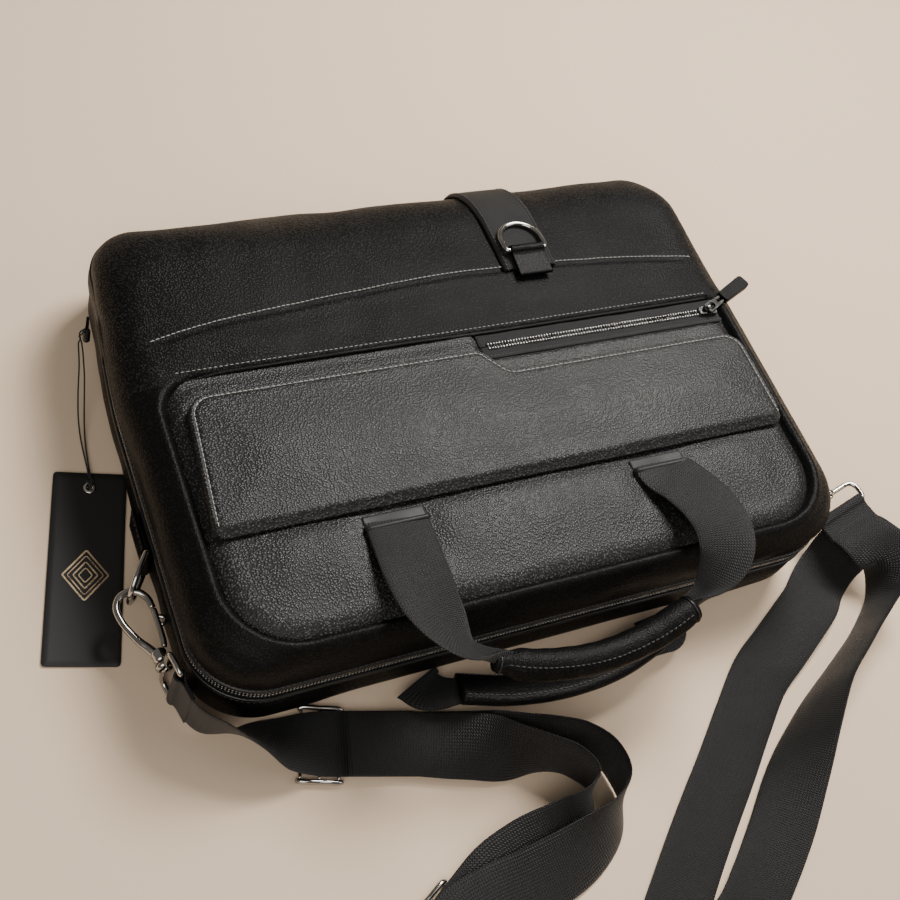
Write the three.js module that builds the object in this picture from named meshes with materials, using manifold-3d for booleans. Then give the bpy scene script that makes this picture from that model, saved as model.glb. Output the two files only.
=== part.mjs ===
// Leather laptop briefcase lying flat on its back panel, in millimetres.
// +X runs along the width, +Y towards the bag's bottom edge, -Y towards its handles, +Z out of the front face.
// The origin is at the middle of the width, on the back panel. The bag opens like a clamshell along its bottom edge.
import * as THREE from 'three';
import { mergeVertices } from 'three/addons/utils/BufferGeometryUtils.js';
import Module from 'manifold-3d';

const wasm = await Module();
wasm.setup();

// ---------- driving dimensions ----------
const BODY = { half: 211, near: -148, far: 168, thick: 85, split: 43 };
const CORNER = { near: 40, far: 30 };
const BACK_ROUND = 16;
const SIDE_ROUND = { run: 22, rise: 20 };
const NEAR_ROUND = { run: 18, rise: 24 };
const FAR_ROUND = { run: 56, rise: 42 };
const WALL = 4;
const GAP = 0.4;
const WEBBING = { width: 38, thick: 1.8 };
const ZIP = { end: 96, rimGap: 5, rowGap: 0.9, tapeIn: 1.2, tapeOut: 2.2, chainIn: 0.6, chainOut: 2.8 };
const RECESS = { half: 193, near: -138, far: 33, floor: 79.5, nearRadius: 40, farRadius: 6 };
const POCKET_ZIP = { start: 8, end: 190, y: 22, tapeHalf: 8.6, z: 83.3 };
const FLAP = { half: 190, near: -74, far: 17, step: -1, stepX: [3, 18], low: 86.5, high: 93 };
const HANDLE_X = 88;
const TAB = { y: -48, z: 27, reach: 4.6, height: 22 };
const WIRE = 1.75;

// ---------- finishes ----------
const FINISH = {
  leather: { color: 0x1d1d1f, roughness: 0.5, metalness: 0 },
  edgeLeather: { color: 0x141415, roughness: 0.42, metalness: 0 },
  webbing: { color: 0x17181a, roughness: 0.75, metalness: 0 },
  lining: { color: 0x3a3d42, roughness: 0.9, metalness: 0 },
  foam: { color: 0x26282c, roughness: 0.9, metalness: 0 },
  board: { color: 0x4a4038, roughness: 0.8, metalness: 0 },
  zipTape: { color: 0x121213, roughness: 0.85, metalness: 0 },
  metal: { color: 0x8d8a86, roughness: 0.22, metalness: 1 },
  magnet: { color: 0xa0a0a4, roughness: 0.3, metalness: 1 },
  card: { color: 0x111113, roughness: 0.8, metalness: 0 },
  string: { color: 0x101010, roughness: 0.9, metalness: 0 },
};

const briefcase = new THREE.Group();
const vec = (x, y, z) => new THREE.Vector3(x, y, z);
const steps = (count) => Array.from({ length: count + 1 }, (_, i) => i / count);

function part(name, geometry, finish, parent = briefcase) {
  const mesh = new THREE.Mesh(geometry, new THREE.MeshStandardMaterial(FINISH[finish]));
  mesh.name = name;
  parent.add(mesh);
  return mesh;
}

// ---------- solids ----------

// Skins a row of rings, each with the same number of points, into one closed body. An open row gets a cap at each end.
function skin(rings, closed = false) {
  const count = rings[0].length;
  const points = rings.flat();
  const index = [];
  const rows = closed ? rings.length : rings.length - 1;
  for (let row = 0; row < rows; row++) {
    const here = row * count;
    const next = ((row + 1) % rings.length) * count;
    for (let i = 0; i < count; i++) {
      const j = (i + 1) % count;
      index.push(here + i, here + j, next + j, here + i, next + j, next + i);
    }
  }
  if (!closed) {
    [0, rings.length - 1].forEach((row) => {
      const centre = rings[row].reduce((sum, p) => sum.add(p), vec(0, 0, 0)).divideScalar(count);
      const middle = points.push(centre) - 1;
      for (let i = 0; i < count; i++) {
        const a = row * count + i;
        const b = row * count + ((i + 1) % count);
        index.push(...(row === 0 ? [middle, b, a] : [middle, a, b]));
      }
    });
  }
  let volume = 0;
  for (let i = 0; i < index.length; i += 3) {
    const [a, b, c] = [points[index[i]], points[index[i + 1]], points[index[i + 2]]];
    volume += a.dot(vec(0, 0, 0).crossVectors(b, c));
  }
  if (volume < 0) index.reverse();
  const geometry = new THREE.BufferGeometry();
  geometry.setAttribute('position', new THREE.Float32BufferAttribute(points.flatMap((p) => p.toArray()), 3));
  geometry.setIndex(index);
  return geometry;
}

function toSolid(geometry) {
  const bare = geometry.clone();
  bare.deleteAttribute('normal');
  bare.deleteAttribute('uv');
  const welded = mergeVertices(bare, 1e-4);
  return new wasm.Manifold(new wasm.Mesh({
    numProp: 3,
    vertProperties: new Float32Array(welded.attributes.position.array),
    triVerts: new Uint32Array(welded.index.array),
  }));
}

function fromSolid(solid) {
  const mesh = solid.getMesh();
  const geometry = new THREE.BufferGeometry();
  geometry.setAttribute('position', new THREE.BufferAttribute(mesh.vertProperties, 3));
  geometry.setIndex(new THREE.BufferAttribute(mesh.triVerts, 1));
  return geometry;
}

const cut = (body, ...tools) => fromSolid(tools.reduce((solid, tool) => solid.subtract(toSolid(tool)), toSolid(body)));
const join = (...bodies) => fromSolid(bodies.map(toSolid).reduce((sum, solid) => sum.add(solid)));

// A flat plate between two heights, with its outline's edges softened by a small bevel.
function slab(shape, low, high, bevel = 0, curveSegments = 5) {
  const geometry = new THREE.ExtrudeGeometry(shape, {
    depth: high - low - 2 * bevel,
    bevelEnabled: bevel > 0,
    bevelThickness: bevel,
    bevelSize: bevel,
    bevelOffset: -bevel,
    bevelSegments: 2,
    curveSegments,
  });
  return geometry.translate(0, 0, low + bevel);
}

function block(x, y, z) {
  const geometry = new THREE.BoxGeometry(x[1] - x[0], y[1] - y[0], z[1] - z[0]);
  return geometry.translate((x[0] + x[1]) / 2, (y[0] + y[1]) / 2, (z[0] + z[1]) / 2);
}

// An outline through corner points, each rounded by its own radius.
function roundedPolygon(corners) {
  const shape = new THREE.Shape();
  corners.forEach(([x, y, radius], i) => {
    const here = new THREE.Vector2(x, y);
    const before = new THREE.Vector2(...corners.at(i - 1).slice(0, 2)).sub(here).setLength(radius).add(here);
    const after = new THREE.Vector2(...corners[(i + 1) % corners.length].slice(0, 2));
    after.sub(here).setLength(radius).add(here);
    if (i === 0) shape.moveTo(before.x, before.y);
    else shape.lineTo(before.x, before.y);
    shape.quadraticCurveTo(x, y, after.x, after.y);
  });
  shape.closePath();
  return shape;
}

// A round tube that follows a flat curve. Its section stays square to the plane's normal.
function tube(points, radius, { closed = false, sides = 8, samples = 24, normal = vec(0, 0, 1) } = {}) {
  const curve = new THREE.CatmullRomCurve3(points, closed, 'centripetal');
  const stations = steps(samples).slice(0, closed ? samples : samples + 1);
  return skin(stations.map((t) => {
    const centre = curve.getPointAt(t);
    const across = vec(0, 0, 0).crossVectors(normal, curve.getTangentAt(t)).normalize();
    return Array.from({ length: sides }, (_, i) => {
      const angle = (2 * Math.PI * (i + 0.5)) / sides;
      return centre.clone()
        .addScaledVector(across, radius * Math.cos(angle))
        .addScaledVector(normal, radius * Math.sin(angle));
    });
  }), closed);
}

// Flat webbing along a route of [x, y, z, width, roll]. Roll is how far its width tips up from level, in degrees.
function ribbon(route, thick, samples) {
  const curve = new THREE.CatmullRomCurve3(route.map(([x, y, z]) => vec(x, y, z)), false, 'centripetal');
  const extra = new THREE.CatmullRomCurve3(route.map(([, , , width, roll]) => vec(width, roll, 0)), false, 'centripetal');
  return skin(steps(samples).map((t) => {
    const centre = curve.getPoint(t);
    const along = curve.getTangent(t);
    const [width, roll] = extra.getPoint(t).toArray();
    const level = vec(0, 0, 0).crossVectors(along, vec(0, 0, 1)).normalize();
    const up = vec(0, 0, 0).crossVectors(level, along);
    const angle = THREE.MathUtils.degToRad(roll);
    const across = level.clone().multiplyScalar(Math.cos(angle)).addScaledVector(up, Math.sin(angle));
    const face = vec(0, 0, 0).crossVectors(across, along);
    return [[-1, -1], [1, -1], [1, 1], [-1, 1]].map(([u, v]) => centre.clone()
      .addScaledVector(across, (u * width) / 2)
      .addScaledVector(face, (v * thick) / 2));
  }));
}

// A strip folded round a wire: a flat tongue that ends in an eye. It lies in the XY plane, with its eye at the origin.
function eyeTab(length, thick, hole, height) {
  const outer = hole + thick;
  const start = Math.asin(thick / 2 / outer);
  const shape = new THREE.Shape();
  shape.absarc(0, 0, outer, start, 2 * Math.PI - start, false);
  shape.lineTo(length, -thick / 2);
  shape.lineTo(length, thick / 2);
  shape.closePath();
  const eye = new THREE.Path();
  eye.absarc(0, 0, hole, 0, 2 * Math.PI, true);
  shape.holes.push(eye);
  return slab(shape, -height / 2, height / 2, 0, 8);
}

// A D-shaped wire ring in the XY plane: its bar lies on the Y axis and its bow reaches out to reach.
function dRing(width, reach) {
  const half = width / 2;
  const bow = steps(6).map((t) => {
    const angle = Math.PI * (t - 0.5);
    return vec(reach - half + half * Math.cos(angle), half * Math.sin(angle), 0);
  });
  const corner = 1.2;
  const bar = [vec(corner, half, 0), vec(0, half - corner, 0), vec(0, 0, 0), vec(0, corner - half, 0), vec(corner, -half, 0)];
  return tube([...bow, ...bar], WIRE, { closed: true, samples: 26, sides: 6 });
}

// ---------- the body's outer form ----------

// How far an edge has pulled in, at a depth below its face, where it is rounded over run sideways and rise downwards.
function roundIn(depth, { run, rise }) {
  return depth >= rise ? 0 : run * (1 - Math.sqrt(1 - (1 - depth / rise) ** 2));
}

const CORNER_STEPS = 5;
const SIDE_STEPS = 6;

function bodyRing(z, inset = 0, height = () => z, farInset = 0) {
  const under = roundIn(z, { run: BACK_ROUND, rise: BACK_ROUND });
  const depth = BODY.thick - z;
  const side = under + roundIn(depth, SIDE_ROUND);
  const half = BODY.half - side - inset;
  const near = BODY.near + under + roundIn(depth, NEAR_ROUND) + inset;
  const far = BODY.far - under - roundIn(depth, FAR_ROUND) - inset - farInset;
  const nearRadius = Math.max(CORNER.near - side / 2 - inset, 6);
  const farRadius = Math.max(CORNER.far - side / 2 - inset, 6);
  const centres = [
    [half - farRadius, far - farRadius, farRadius],
    [farRadius - half, far - farRadius, farRadius],
    [nearRadius - half, near + nearRadius, nearRadius],
    [half - nearRadius, near + nearRadius, nearRadius],
  ];
  const arcs = centres.map(([x, y, radius], turn) => steps(CORNER_STEPS).map((t) => {
    const angle = ((turn + t) * Math.PI) / 2;
    return vec(x + radius * Math.cos(angle), y + radius * Math.sin(angle), 0);
  }));
  const ring = arcs.flatMap((arc, turn) => {
    const next = arcs[(turn + 1) % 4][0];
    const straight = steps(SIDE_STEPS).slice(1, -1).map((t) => arc.at(-1).clone().lerp(next, t));
    return [...arc, ...straight];
  });
  ring.forEach((point) => { point.z = height(point.y); });
  return ring;
}

// The rim of each half stands back from the split along the zip, and closes up to it past the zip's ends.
function rim(side) {
  return (y) => {
    const open = 1 - THREE.MathUtils.smoothstep(y, ZIP.end + 2, ZIP.end + 30);
    return BODY.split + side * (GAP / 2 + open * ZIP.rimGap);
  };
}

function rearShell() {
  return skin([
    ...[0, 2, 6, 11, BACK_ROUND].map((z) => bodyRing(z)),
    bodyRing(BODY.split, 0, rim(-1)),
    bodyRing(BODY.split, WALL, rim(-1)),
    ...[BACK_ROUND, 10, WALL].map((z) => bodyRing(z, WALL)),
  ]);
}

const FRONT_LEVELS = [52, 59, 65, 70, 74.5, 78, 81, 83, 84.4, BODY.thick];
const FRONT_INNER = [75, 70, 65, 59, 52];

function recessOutline(inset) {
  const { half, near, far, nearRadius, farRadius } = RECESS;
  return roundedPolygon([
    [half - inset, far - inset, farRadius],
    [inset - half, far - inset, farRadius],
    [inset - half, near + inset, nearRadius],
    [half - inset, near + inset, nearRadius],
  ]);
}

function frontShell() {
  const lid = skin([
    ...FRONT_INNER.map((z) => bodyRing(z, WALL)),
    bodyRing(BODY.split, WALL, rim(1)),
    bodyRing(BODY.split, 0, rim(1)),
    ...FRONT_LEVELS.map((z) => bodyRing(z)),
  ]);
  return cut(lid, slab(recessOutline(0), RECESS.floor, BODY.thick + 5));
}

const LINING = { clear: WALL + GAP, thick: 1, rimBack: 7, farBack: 3 };

function rearLining() {
  const inner = LINING.clear + LINING.thick;
  const top = BODY.split - LINING.rimBack;
  const floor = WALL + GAP;
  return skin([
    ...[floor, 10, BACK_ROUND, top].map((z) => bodyRing(z, LINING.clear, undefined, LINING.farBack)),
    ...[top, BACK_ROUND, 10, floor + LINING.thick].map((z) => bodyRing(z, inner, undefined, LINING.farBack)),
  ]);
}

function frontLining() {
  const inner = LINING.clear + LINING.thick;
  const low = BODY.split + LINING.rimBack;
  const [roof, ...walls] = FRONT_INNER.slice(0, -1);
  return skin([
    ...[roof - GAP, ...walls].map((z) => bodyRing(z, LINING.clear)),
    bodyRing(low, LINING.clear),
    bodyRing(low, inner),
    ...[...walls].reverse().map((z) => bodyRing(z, inner)),
    bodyRing(roof - GAP - LINING.thick, inner),
  ]);
}

part('rear_shell', rearShell(), 'leather');
part('rear_lining', rearLining(), 'lining');
part('front_shell', frontShell(), 'leather');
part('front_lining', frontLining(), 'lining');

const boardY = BODY.far - WALL - GAP;
part('bottom_stiffener_board', block([-175, 175], [boardY - 2.2, boardY], [BACK_ROUND, 34]), 'board');
part('laptop_divider', slab(roundedPolygon([
  [192, 145, 12], [-192, 145, 12], [-192, -128, 30], [192, -128, 30],
]), 26, 34, 2, 4), 'foam');

// ---------- main zip ----------

// A strip of the wall along the zip: down the left side, along the near side and up the right side.
function wallStrip(low, high, outIn, inIn) {
  const rail = (inset) => {
    const half = BODY.half - inset;
    const near = BODY.near + inset;
    const radius = CORNER.near - inset;
    const arc = (x, start) => steps(CORNER_STEPS).map((t) => {
      const angle = start + (t * Math.PI) / 2;
      return vec(x + radius * Math.cos(angle), near + radius + radius * Math.sin(angle), 0);
    });
    return [
      vec(-half, ZIP.end, 0),
      ...arc(radius - half, Math.PI),
      ...arc(half - radius, 1.5 * Math.PI),
      vec(half, ZIP.end, 0),
    ];
  };
  const outer = rail(outIn);
  const inner = rail(inIn);
  return skin(outer.map((point, i) => [
    point.clone().setZ(low), inner[i].clone().setZ(low), inner[i].clone().setZ(high), point.clone().setZ(high),
  ]));
}

[['rear', -1], ['front', 1]].forEach(([half, side]) => {
  const level = (offset) => BODY.split + side * offset;
  const strip = (from, to, outIn, inIn) => wallStrip(
    Math.min(level(from), level(to)), Math.max(level(from), level(to)), outIn, inIn,
  );
  const chainEdge = ZIP.rowGap + 1.2;
  part(`main_zip_tape_${half}`, strip(chainEdge + GAP, ZIP.rimGap - GAP / 2, ZIP.tapeIn, ZIP.tapeOut), 'zipTape');
  part(`main_zip_chain_${half}`, strip(ZIP.rowGap, chainEdge, ZIP.chainIn, ZIP.chainOut), 'metal');
});

// A zip slider for a chain that runs along X in the XY plane, between two plates that a thin wedge joins.
function zipSlider({ length, width, under, over }) {
  const plate = roundedPolygon([
    [length / 2, width / 2, 2.5], [-length / 2, width / 3, 1.5], [-length / 2, -width / 3, 1.5], [length / 2, -width / 2, 2.5],
  ]);
  const bridge = tube(
    [vec(-3.6, 0, over), vec(-3.2, 0, over + 2.4), vec(0, 0, over + 3.4), vec(3.2, 0, over + 2.4), vec(3.6, 0, over)],
    0.8, { normal: vec(0, 1, 0), sides: 6, samples: 8 },
  );
  return join(
    slab(plate, over - 1.6, over, 0.4, 2),
    slab(plate, -under, 1.2 - under, 0, 2),
    block([length / 2 - 4.5, length / 2 - 1.2], [-0.45, 0.45], [0.6 - under, over - 0.6]),
    bridge,
  );
}

// A cast zip puller that lies along X from its eye at the origin, with a long slot in its body.
function zipPuller(length, width) {
  const half = width / 2;
  const outline = roundedPolygon([
    [length, half * 0.6, 1.6], [5.8, half, 2], [-2, half, 1], [-2, -half, 1], [5.8, -half, 2], [length, -half * 0.6, 1.6],
  ]);
  outline.holes.push(roundedPolygon([[5.6, 2.3, 0.8], [5.6, -2.3, 0.8], [-0.9, -2.3, 0.5], [-0.9, 2.3, 0.5]]));
  outline.holes.push(roundedPolygon([
    [length - 3, 1.2, 1], [length - 3, -1.2, 1], [length * 0.45, -1.2, 1], [length * 0.45, 1.2, 1],
  ]));
  return slab(outline, -0.7, 0.7, 0, 2);
}

// The chain's right-hand run climbs +Y on the wall, so the slider's own X axis turns to +Y and its Z axis to +X.
const MAIN_SLIDER = { y: 90, over: 3.2 };
const chainMiddle = BODY.half - (ZIP.chainIn + ZIP.chainOut) / 2;
const mainSlider = new THREE.Group();
mainSlider.position.set(chainMiddle, MAIN_SLIDER.y, BODY.split);
mainSlider.setRotationFromMatrix(new THREE.Matrix4().makeBasis(vec(0, 1, 0), vec(0, 0, 1), vec(1, 0, 0)));
briefcase.add(mainSlider);
part('main_zip_slider', zipSlider({ length: 14, width: 8.6, under: 3, over: MAIN_SLIDER.over }), 'metal', mainSlider);
const mainPull = part('main_zip_puller', zipPuller(24, 7), 'metal', mainSlider);
mainPull.position.set(0.4, 0, MAIN_SLIDER.over + 1.35);
mainPull.rotation.z = Math.PI;

// ---------- front pocket ----------
const zipNotch = block([POCKET_ZIP.start - 4, RECESS.half + 5], [POCKET_ZIP.y - 10, RECESS.far + 5], [70, 95]);
part('front_pocket_panel', cut(slab(recessOutline(GAP), RECESS.floor + GAP, BODY.thick, 1.2, 6), zipNotch), 'leather');

const chainHalf = 2.3;
const tapeEdge = chainHalf + GAP;
const { start: zipStart, end: zipEnd, y: zipY, tapeHalf, z: zipZ } = POCKET_ZIP;
const tapeU = roundedPolygon([
  [zipEnd, zipY + tapeHalf, 0.5], [zipStart, zipY + tapeHalf, 0.5], [zipStart, zipY - tapeHalf, 0.5],
  [zipEnd, zipY - tapeHalf, 0.5], [zipEnd, zipY - tapeEdge, 0.3], [zipStart + 4, zipY - tapeEdge, 0.3],
  [zipStart + 4, zipY + tapeEdge, 0.3], [zipEnd, zipY + tapeEdge, 0.3],
]);
part('pocket_zip_tape', slab(tapeU, zipZ - 0.4, zipZ + 0.4, 0, 2), 'zipTape');
[['near', -1], ['far', 1]].forEach(([row, side]) => {
  const y = [zipY + side * 0.8, zipY + side * chainHalf].sort((a, b) => a - b);
  part(`pocket_zip_chain_${row}`, block([zipStart + 5, zipEnd - 1], y, [zipZ - 0.9, zipZ + 0.9]), 'metal');
});
const pocketSlider = new THREE.Group();
pocketSlider.position.set(zipEnd - 8, zipY, zipZ);
briefcase.add(pocketSlider);
part('pocket_zip_slider', zipSlider({ length: 14, width: 8.6, under: 3, over: 2.8 }), 'metal', pocketSlider);
const pocketPull = new THREE.Group();
pocketPull.position.set(0.4, 0, 4.3);
pocketPull.rotation.z = 0.42;
pocketSlider.add(pocketPull);
part('pocket_zip_puller', zipPuller(20, 7), 'metal', pocketPull);
const tabOutline = roundedPolygon([[42, 5, 3], [15, 4.4, 2], [15, -4.4, 2], [42, -5, 3]]);
const tabSlot = block([14, 20 + GAP], [-3.4, 3.4], [-0.7 - GAP, 0.7 + GAP]);
part('pocket_zip_pull_tab', cut(slab(tabOutline, -2.3, 2.3, 0.5, 3), tabSlot), 'edgeLeather', pocketPull);

// ---------- flap ----------
const flapOutline = roundedPolygon([
  [FLAP.half, FLAP.step, 15], [FLAP.stepX[1], FLAP.step, 8], [FLAP.stepX[0], FLAP.far, 8], [-FLAP.half + 8, FLAP.far, 16],
  [-FLAP.half, FLAP.near, 8], [FLAP.half, FLAP.near, 8],
]);
const MAGNETS = [-120, 120];
const magnetSeats = MAGNETS.map((x) => {
  const seat = new THREE.CylinderGeometry(8.4, 8.4, 3, 16).rotateX(Math.PI / 2);
  return seat.translate(x, -20, FLAP.low + 0.9);
});
part('flap', cut(slab(flapOutline, FLAP.low, FLAP.high, 1.6, 6), ...magnetSeats), 'leather');
MAGNETS.forEach((x, i) => {
  const side = i ? 'right' : 'left';
  const upper = new THREE.CylinderGeometry(8, 8, 1.8, 16).rotateX(Math.PI / 2);
  part(`flap_magnet_${side}`, upper.translate(x, -20, FLAP.low + 1), 'magnet');
});
part('flap_hinge_welt', block([-182, 182], [-71, -66], [BODY.thick + GAP, FLAP.low - GAP]), 'edgeLeather');

// ---------- bottom band, its loop and ring ----------
const BAND = { x: 68, width: 40, start: 76, end: 47, thick: 1.8 };

// The band's path down over the rounded bottom edge, lifted clear of the panel.
function bandProfile(lift) {
  const levels = [...FRONT_LEVELS].reverse().filter((z) => z > BAND.end);
  const edge = levels.map((z) => ({ y: BODY.far - roundIn(BODY.thick - z, FAR_ROUND), z }));
  const path = [{ y: BAND.start, z: BODY.thick }, ...edge, { y: BODY.far, z: BAND.end }];
  return path.map(({ y, z }, i) => {
    const before = path[Math.max(i - 1, 0)];
    const after = path[Math.min(i + 1, path.length - 1)];
    const slope = new THREE.Vector2(after.y - before.y, after.z - before.z).normalize();
    return { y: y - slope.y * lift, z: z + slope.x * lift };
  });
}

const bandLow = bandProfile(GAP);
const bandHigh = bandProfile(GAP + BAND.thick);
part('bottom_band', skin(bandLow.map((low, i) => {
  const [left, right] = [BAND.x - BAND.width / 2, BAND.x + BAND.width / 2];
  const high = bandHigh[i];
  return [vec(left, low.y, low.z), vec(right, low.y, low.z), vec(right, high.y, high.z), vec(left, high.y, high.z)];
})), 'webbing');

const RING = { y: 88, z: 91.8, width: 30, reach: 23 };
const ringLoop = part('ring_loop', eyeTab(20, 1.8, 2.3, 24), 'leather');
ringLoop.position.set(BAND.x, RING.y, RING.z);
ringLoop.setRotationFromMatrix(new THREE.Matrix4().makeBasis(
  vec(0, -Math.cos(0.11), -Math.sin(0.11)), vec(0, Math.sin(0.11), -Math.cos(0.11)), vec(1, 0, 0),
));
const frontRing = part('front_ring', dRing(RING.width, RING.reach), 'metal');
frontRing.position.set(BAND.x, RING.y, RING.z);
frontRing.setRotationFromMatrix(new THREE.Matrix4().makeBasis(
  vec(0, Math.cos(0.08), -Math.sin(0.08)), vec(-1, 0, 0), vec(0, Math.sin(0.08), Math.cos(0.08)),
));

// ---------- handles ----------
[['left', -1], ['right', 1]].forEach(([side, sign]) => {
  const edges = [sign * HANDLE_X - 19, sign * HANDLE_X + 19];
  part(`front_handle_patch_${side}`, block(edges, [-104, -76], [BODY.thick + GAP, BODY.thick + 1.4]), 'webbing');
});
const FRONT_LEGS = {
  left: [
    [-HANDLE_X, -84, 88.2, 38, 0], [-89, -98, 90.5, 38, 0], [-90, -120, 92.5, 38, 2], [-88, -140, 91.5, 36, 8],
    [-82, -156, 87, 31, 20], [-73, -166.5, 80, 24, 38], [-62.5, -171, 75, 15, 48],
  ],
  right: [
    [HANDLE_X, -84, 88.2, 38, 0], [88.2, -90, 89.4, 38, 0], [93, -102, 93.8, 38, 0], [99, -120, 97.5, 38, -2],
    [101, -138, 98, 36, -8], [97, -154, 93, 31, -20], [88, -165.5, 84, 24, -38], [77.5, -170.5, 76.5, 15, -48],
  ],
};
const REAR_LEGS = {
  left: [
    [-HANDLE_X, -152, 9.5, 38, 0], [-88, -157, 10, 36, 0], [-85, -163, 12.5, 28, 6], [-77, -166.5, 16.5, 22, 14],
    [-65.5, -165.5, 20, 18, 20],
  ],
  right: [
    [HANDLE_X, -152, 9.5, 38, 0], [89, -157, 10, 36, 0], [88, -163, 12.5, 28, -6], [84, -167, 16.5, 22, -14],
    [75, -167, 20, 18, -20],
  ],
};
[['front', FRONT_LEGS, 2.4, 14], ['rear', REAR_LEGS, 2.4, 9]].forEach(([handle, legs, thick, samples]) => {
  Object.entries(legs).forEach(([side, route]) => {
    part(`${handle}_handle_webbing_${side}`, ribbon(route, thick, samples), 'webbing');
  });
});
part('front_handle_grip', tube([
  vec(-58.8, -172.8, 72.5), vec(-30, -180.5, 68.5), vec(6, -184.5, 66.5), vec(42, -181, 68.5), vec(72.8, -172.8, 73.5),
], 9.5, { sides: 10, samples: 16 }), 'leather');

// The rear grip is a flat leather wrap, tipped so that its near edge is the lower one.
const REAR_GRIP = { width: 24, thick: 9, tip: 28 };
part('rear_handle_grip', ribbon([
  [-61.8, -166, 19.5, REAR_GRIP.width, REAR_GRIP.tip], [-30, -175, 18.5, REAR_GRIP.width, REAR_GRIP.tip],
  [5, -179, 18, REAR_GRIP.width, REAR_GRIP.tip], [40, -176.5, 18.5, REAR_GRIP.width, REAR_GRIP.tip],
  [70.8, -168, 19.5, REAR_GRIP.width, REAR_GRIP.tip],
], REAR_GRIP.thick, 14), 'leather');

// ---------- side tabs, rings and snap hooks ----------

// The snap hook's own frame: the ring's wire passes through the origin, and the hook's swivel axis runs along +X.
const HOOK = { wire: 2.1, hinge: 31.5, swivel: 41.3, bar: 57, loopHalf: 21.5 };

function hookClaw() {
  const bend = tube([
    vec(35, -2, 0), vec(24, -6.5, 0), vec(10, -9.6, 0), vec(1, -8.6, 0), vec(-3.8, -4.2, 0), vec(-4.6, 0.6, 0),
    vec(-2.2, 6.2, 0), vec(3.4, 9.2, 0), vec(9, 9.2, 0),
  ], HOOK.wire, { samples: 18 });
  const neck = [[0, 33.4], [4.4, 33.4], [4.4, 40.6], [1.8, 41], [1.8, 45], [3.2, 45], [3.2, 46.4], [0, 46.4]];
  const base = new THREE.LatheGeometry(neck.map(([r, x]) => new THREE.Vector2(r, x)), 12).rotateZ(-Math.PI / 2);
  return join(bend, base);
}

function hookGate() {
  const bar = tube([vec(12.4, 9, 0), vec(21, 7.6, 0), vec(31.2, 5.6, 0)], 1.6, { samples: 6 });
  const thumb = block([15.5, 19.5], [8.4, 12.2], [-1.4, 1.4]);
  return join(bar, thumb);
}

// The webbing loop turns about the swivel axis by roll, so that its bar lies level or upright.
function hookLoop(roll) {
  const { swivel, bar, loopHalf } = HOOK;
  const frame = tube([
    vec(swivel + 2, 0, 0), vec(swivel + 2, loopHalf - 5, 0), vec(swivel + 5, loopHalf, 0), vec(bar - 3, loopHalf, 0),
    vec(bar, loopHalf - 3, 0), vec(bar, 0, 0), vec(bar, 3 - loopHalf, 0), vec(bar - 3, -loopHalf, 0),
    vec(swivel + 5, -loopHalf, 0), vec(swivel + 2, 5 - loopHalf, 0),
  ], WIRE, { closed: true, samples: 30, sides: 6 });
  const drum = (radius, from, to) => {
    const cylinder = new THREE.CylinderGeometry(radius, radius, to - from, 12).rotateZ(Math.PI / 2);
    return cylinder.translate((from + to) / 2, 0, 0);
  };
  const collar = join(frame, drum(5, swivel + 0.1, swivel + 3.4));
  return cut(collar, drum(2.2, swivel - 2, swivel + 6), drum(3.7, swivel + 3.4, swivel + 7)).rotateX(roll);
}

// Each chain of tab, ring and hook starts at the tab's eye. The ring's bar is upright and its bow points along out,
// and the hook runs from the ring's bow along run.
const CHAINS = {
  left: { sign: -1, out: [-0.56, -0.828, 0], run: [0.21, -0.976, -0.045], loopRoll: Math.PI / 2 },
  right: { sign: 1, out: [0.72, -0.694, 0], run: [0.22, -0.975, 0.03], loopRoll: 0.25 },
};
const tabEyeX = BODY.half + TAB.reach;
Object.entries(CHAINS).forEach(([side, { sign, out, run, loopRoll }]) => {
  const eye = vec(sign * tabEyeX, TAB.y, TAB.z);
  const tab = part(`side_tab_${side}`, eyeTab(30, 1.8, 2.3, TAB.height), 'leather');
  tab.position.copy(eye);
  tab.rotation.z = Math.PI / 2;
  const outward = vec(...out).normalize();
  const ring = part(`side_ring_${side}`, dRing(28, 25), 'metal');
  ring.position.copy(eye);
  ring.setRotationFromMatrix(new THREE.Matrix4().makeBasis(
    outward, vec(0, 0, 1), vec(0, 0, 0).crossVectors(outward, vec(0, 0, 1)),
  ));
  const hook = new THREE.Group();
  const forward = vec(...run).normalize();
  const sideways = vec(0, 0, 0).crossVectors(vec(0, 0, 1), forward).normalize();
  hook.position.copy(eye).addScaledVector(outward, 25);
  hook.setRotationFromMatrix(new THREE.Matrix4().makeBasis(
    forward, sideways, vec(0, 0, 0).crossVectors(forward, sideways),
  ));
  briefcase.add(hook);
  part(`hook_claw_${side}`, hookClaw(), 'metal', hook);
  part(`hook_gate_${side}`, hookGate(), 'metal', hook);
  part(`hook_loop_${side}`, hookLoop(loopRoll), 'metal', hook);
  const end = part(`strap_end_${side}`, eyeTab(15, 2.2, 2.7, WEBBING.width), 'webbing', hook);
  end.position.set(HOOK.bar, 0, 0);
  end.rotation.x = loopRoll + Math.PI / 2;
});

// ---------- shoulder strap ----------
const W = WEBBING.width;
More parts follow.
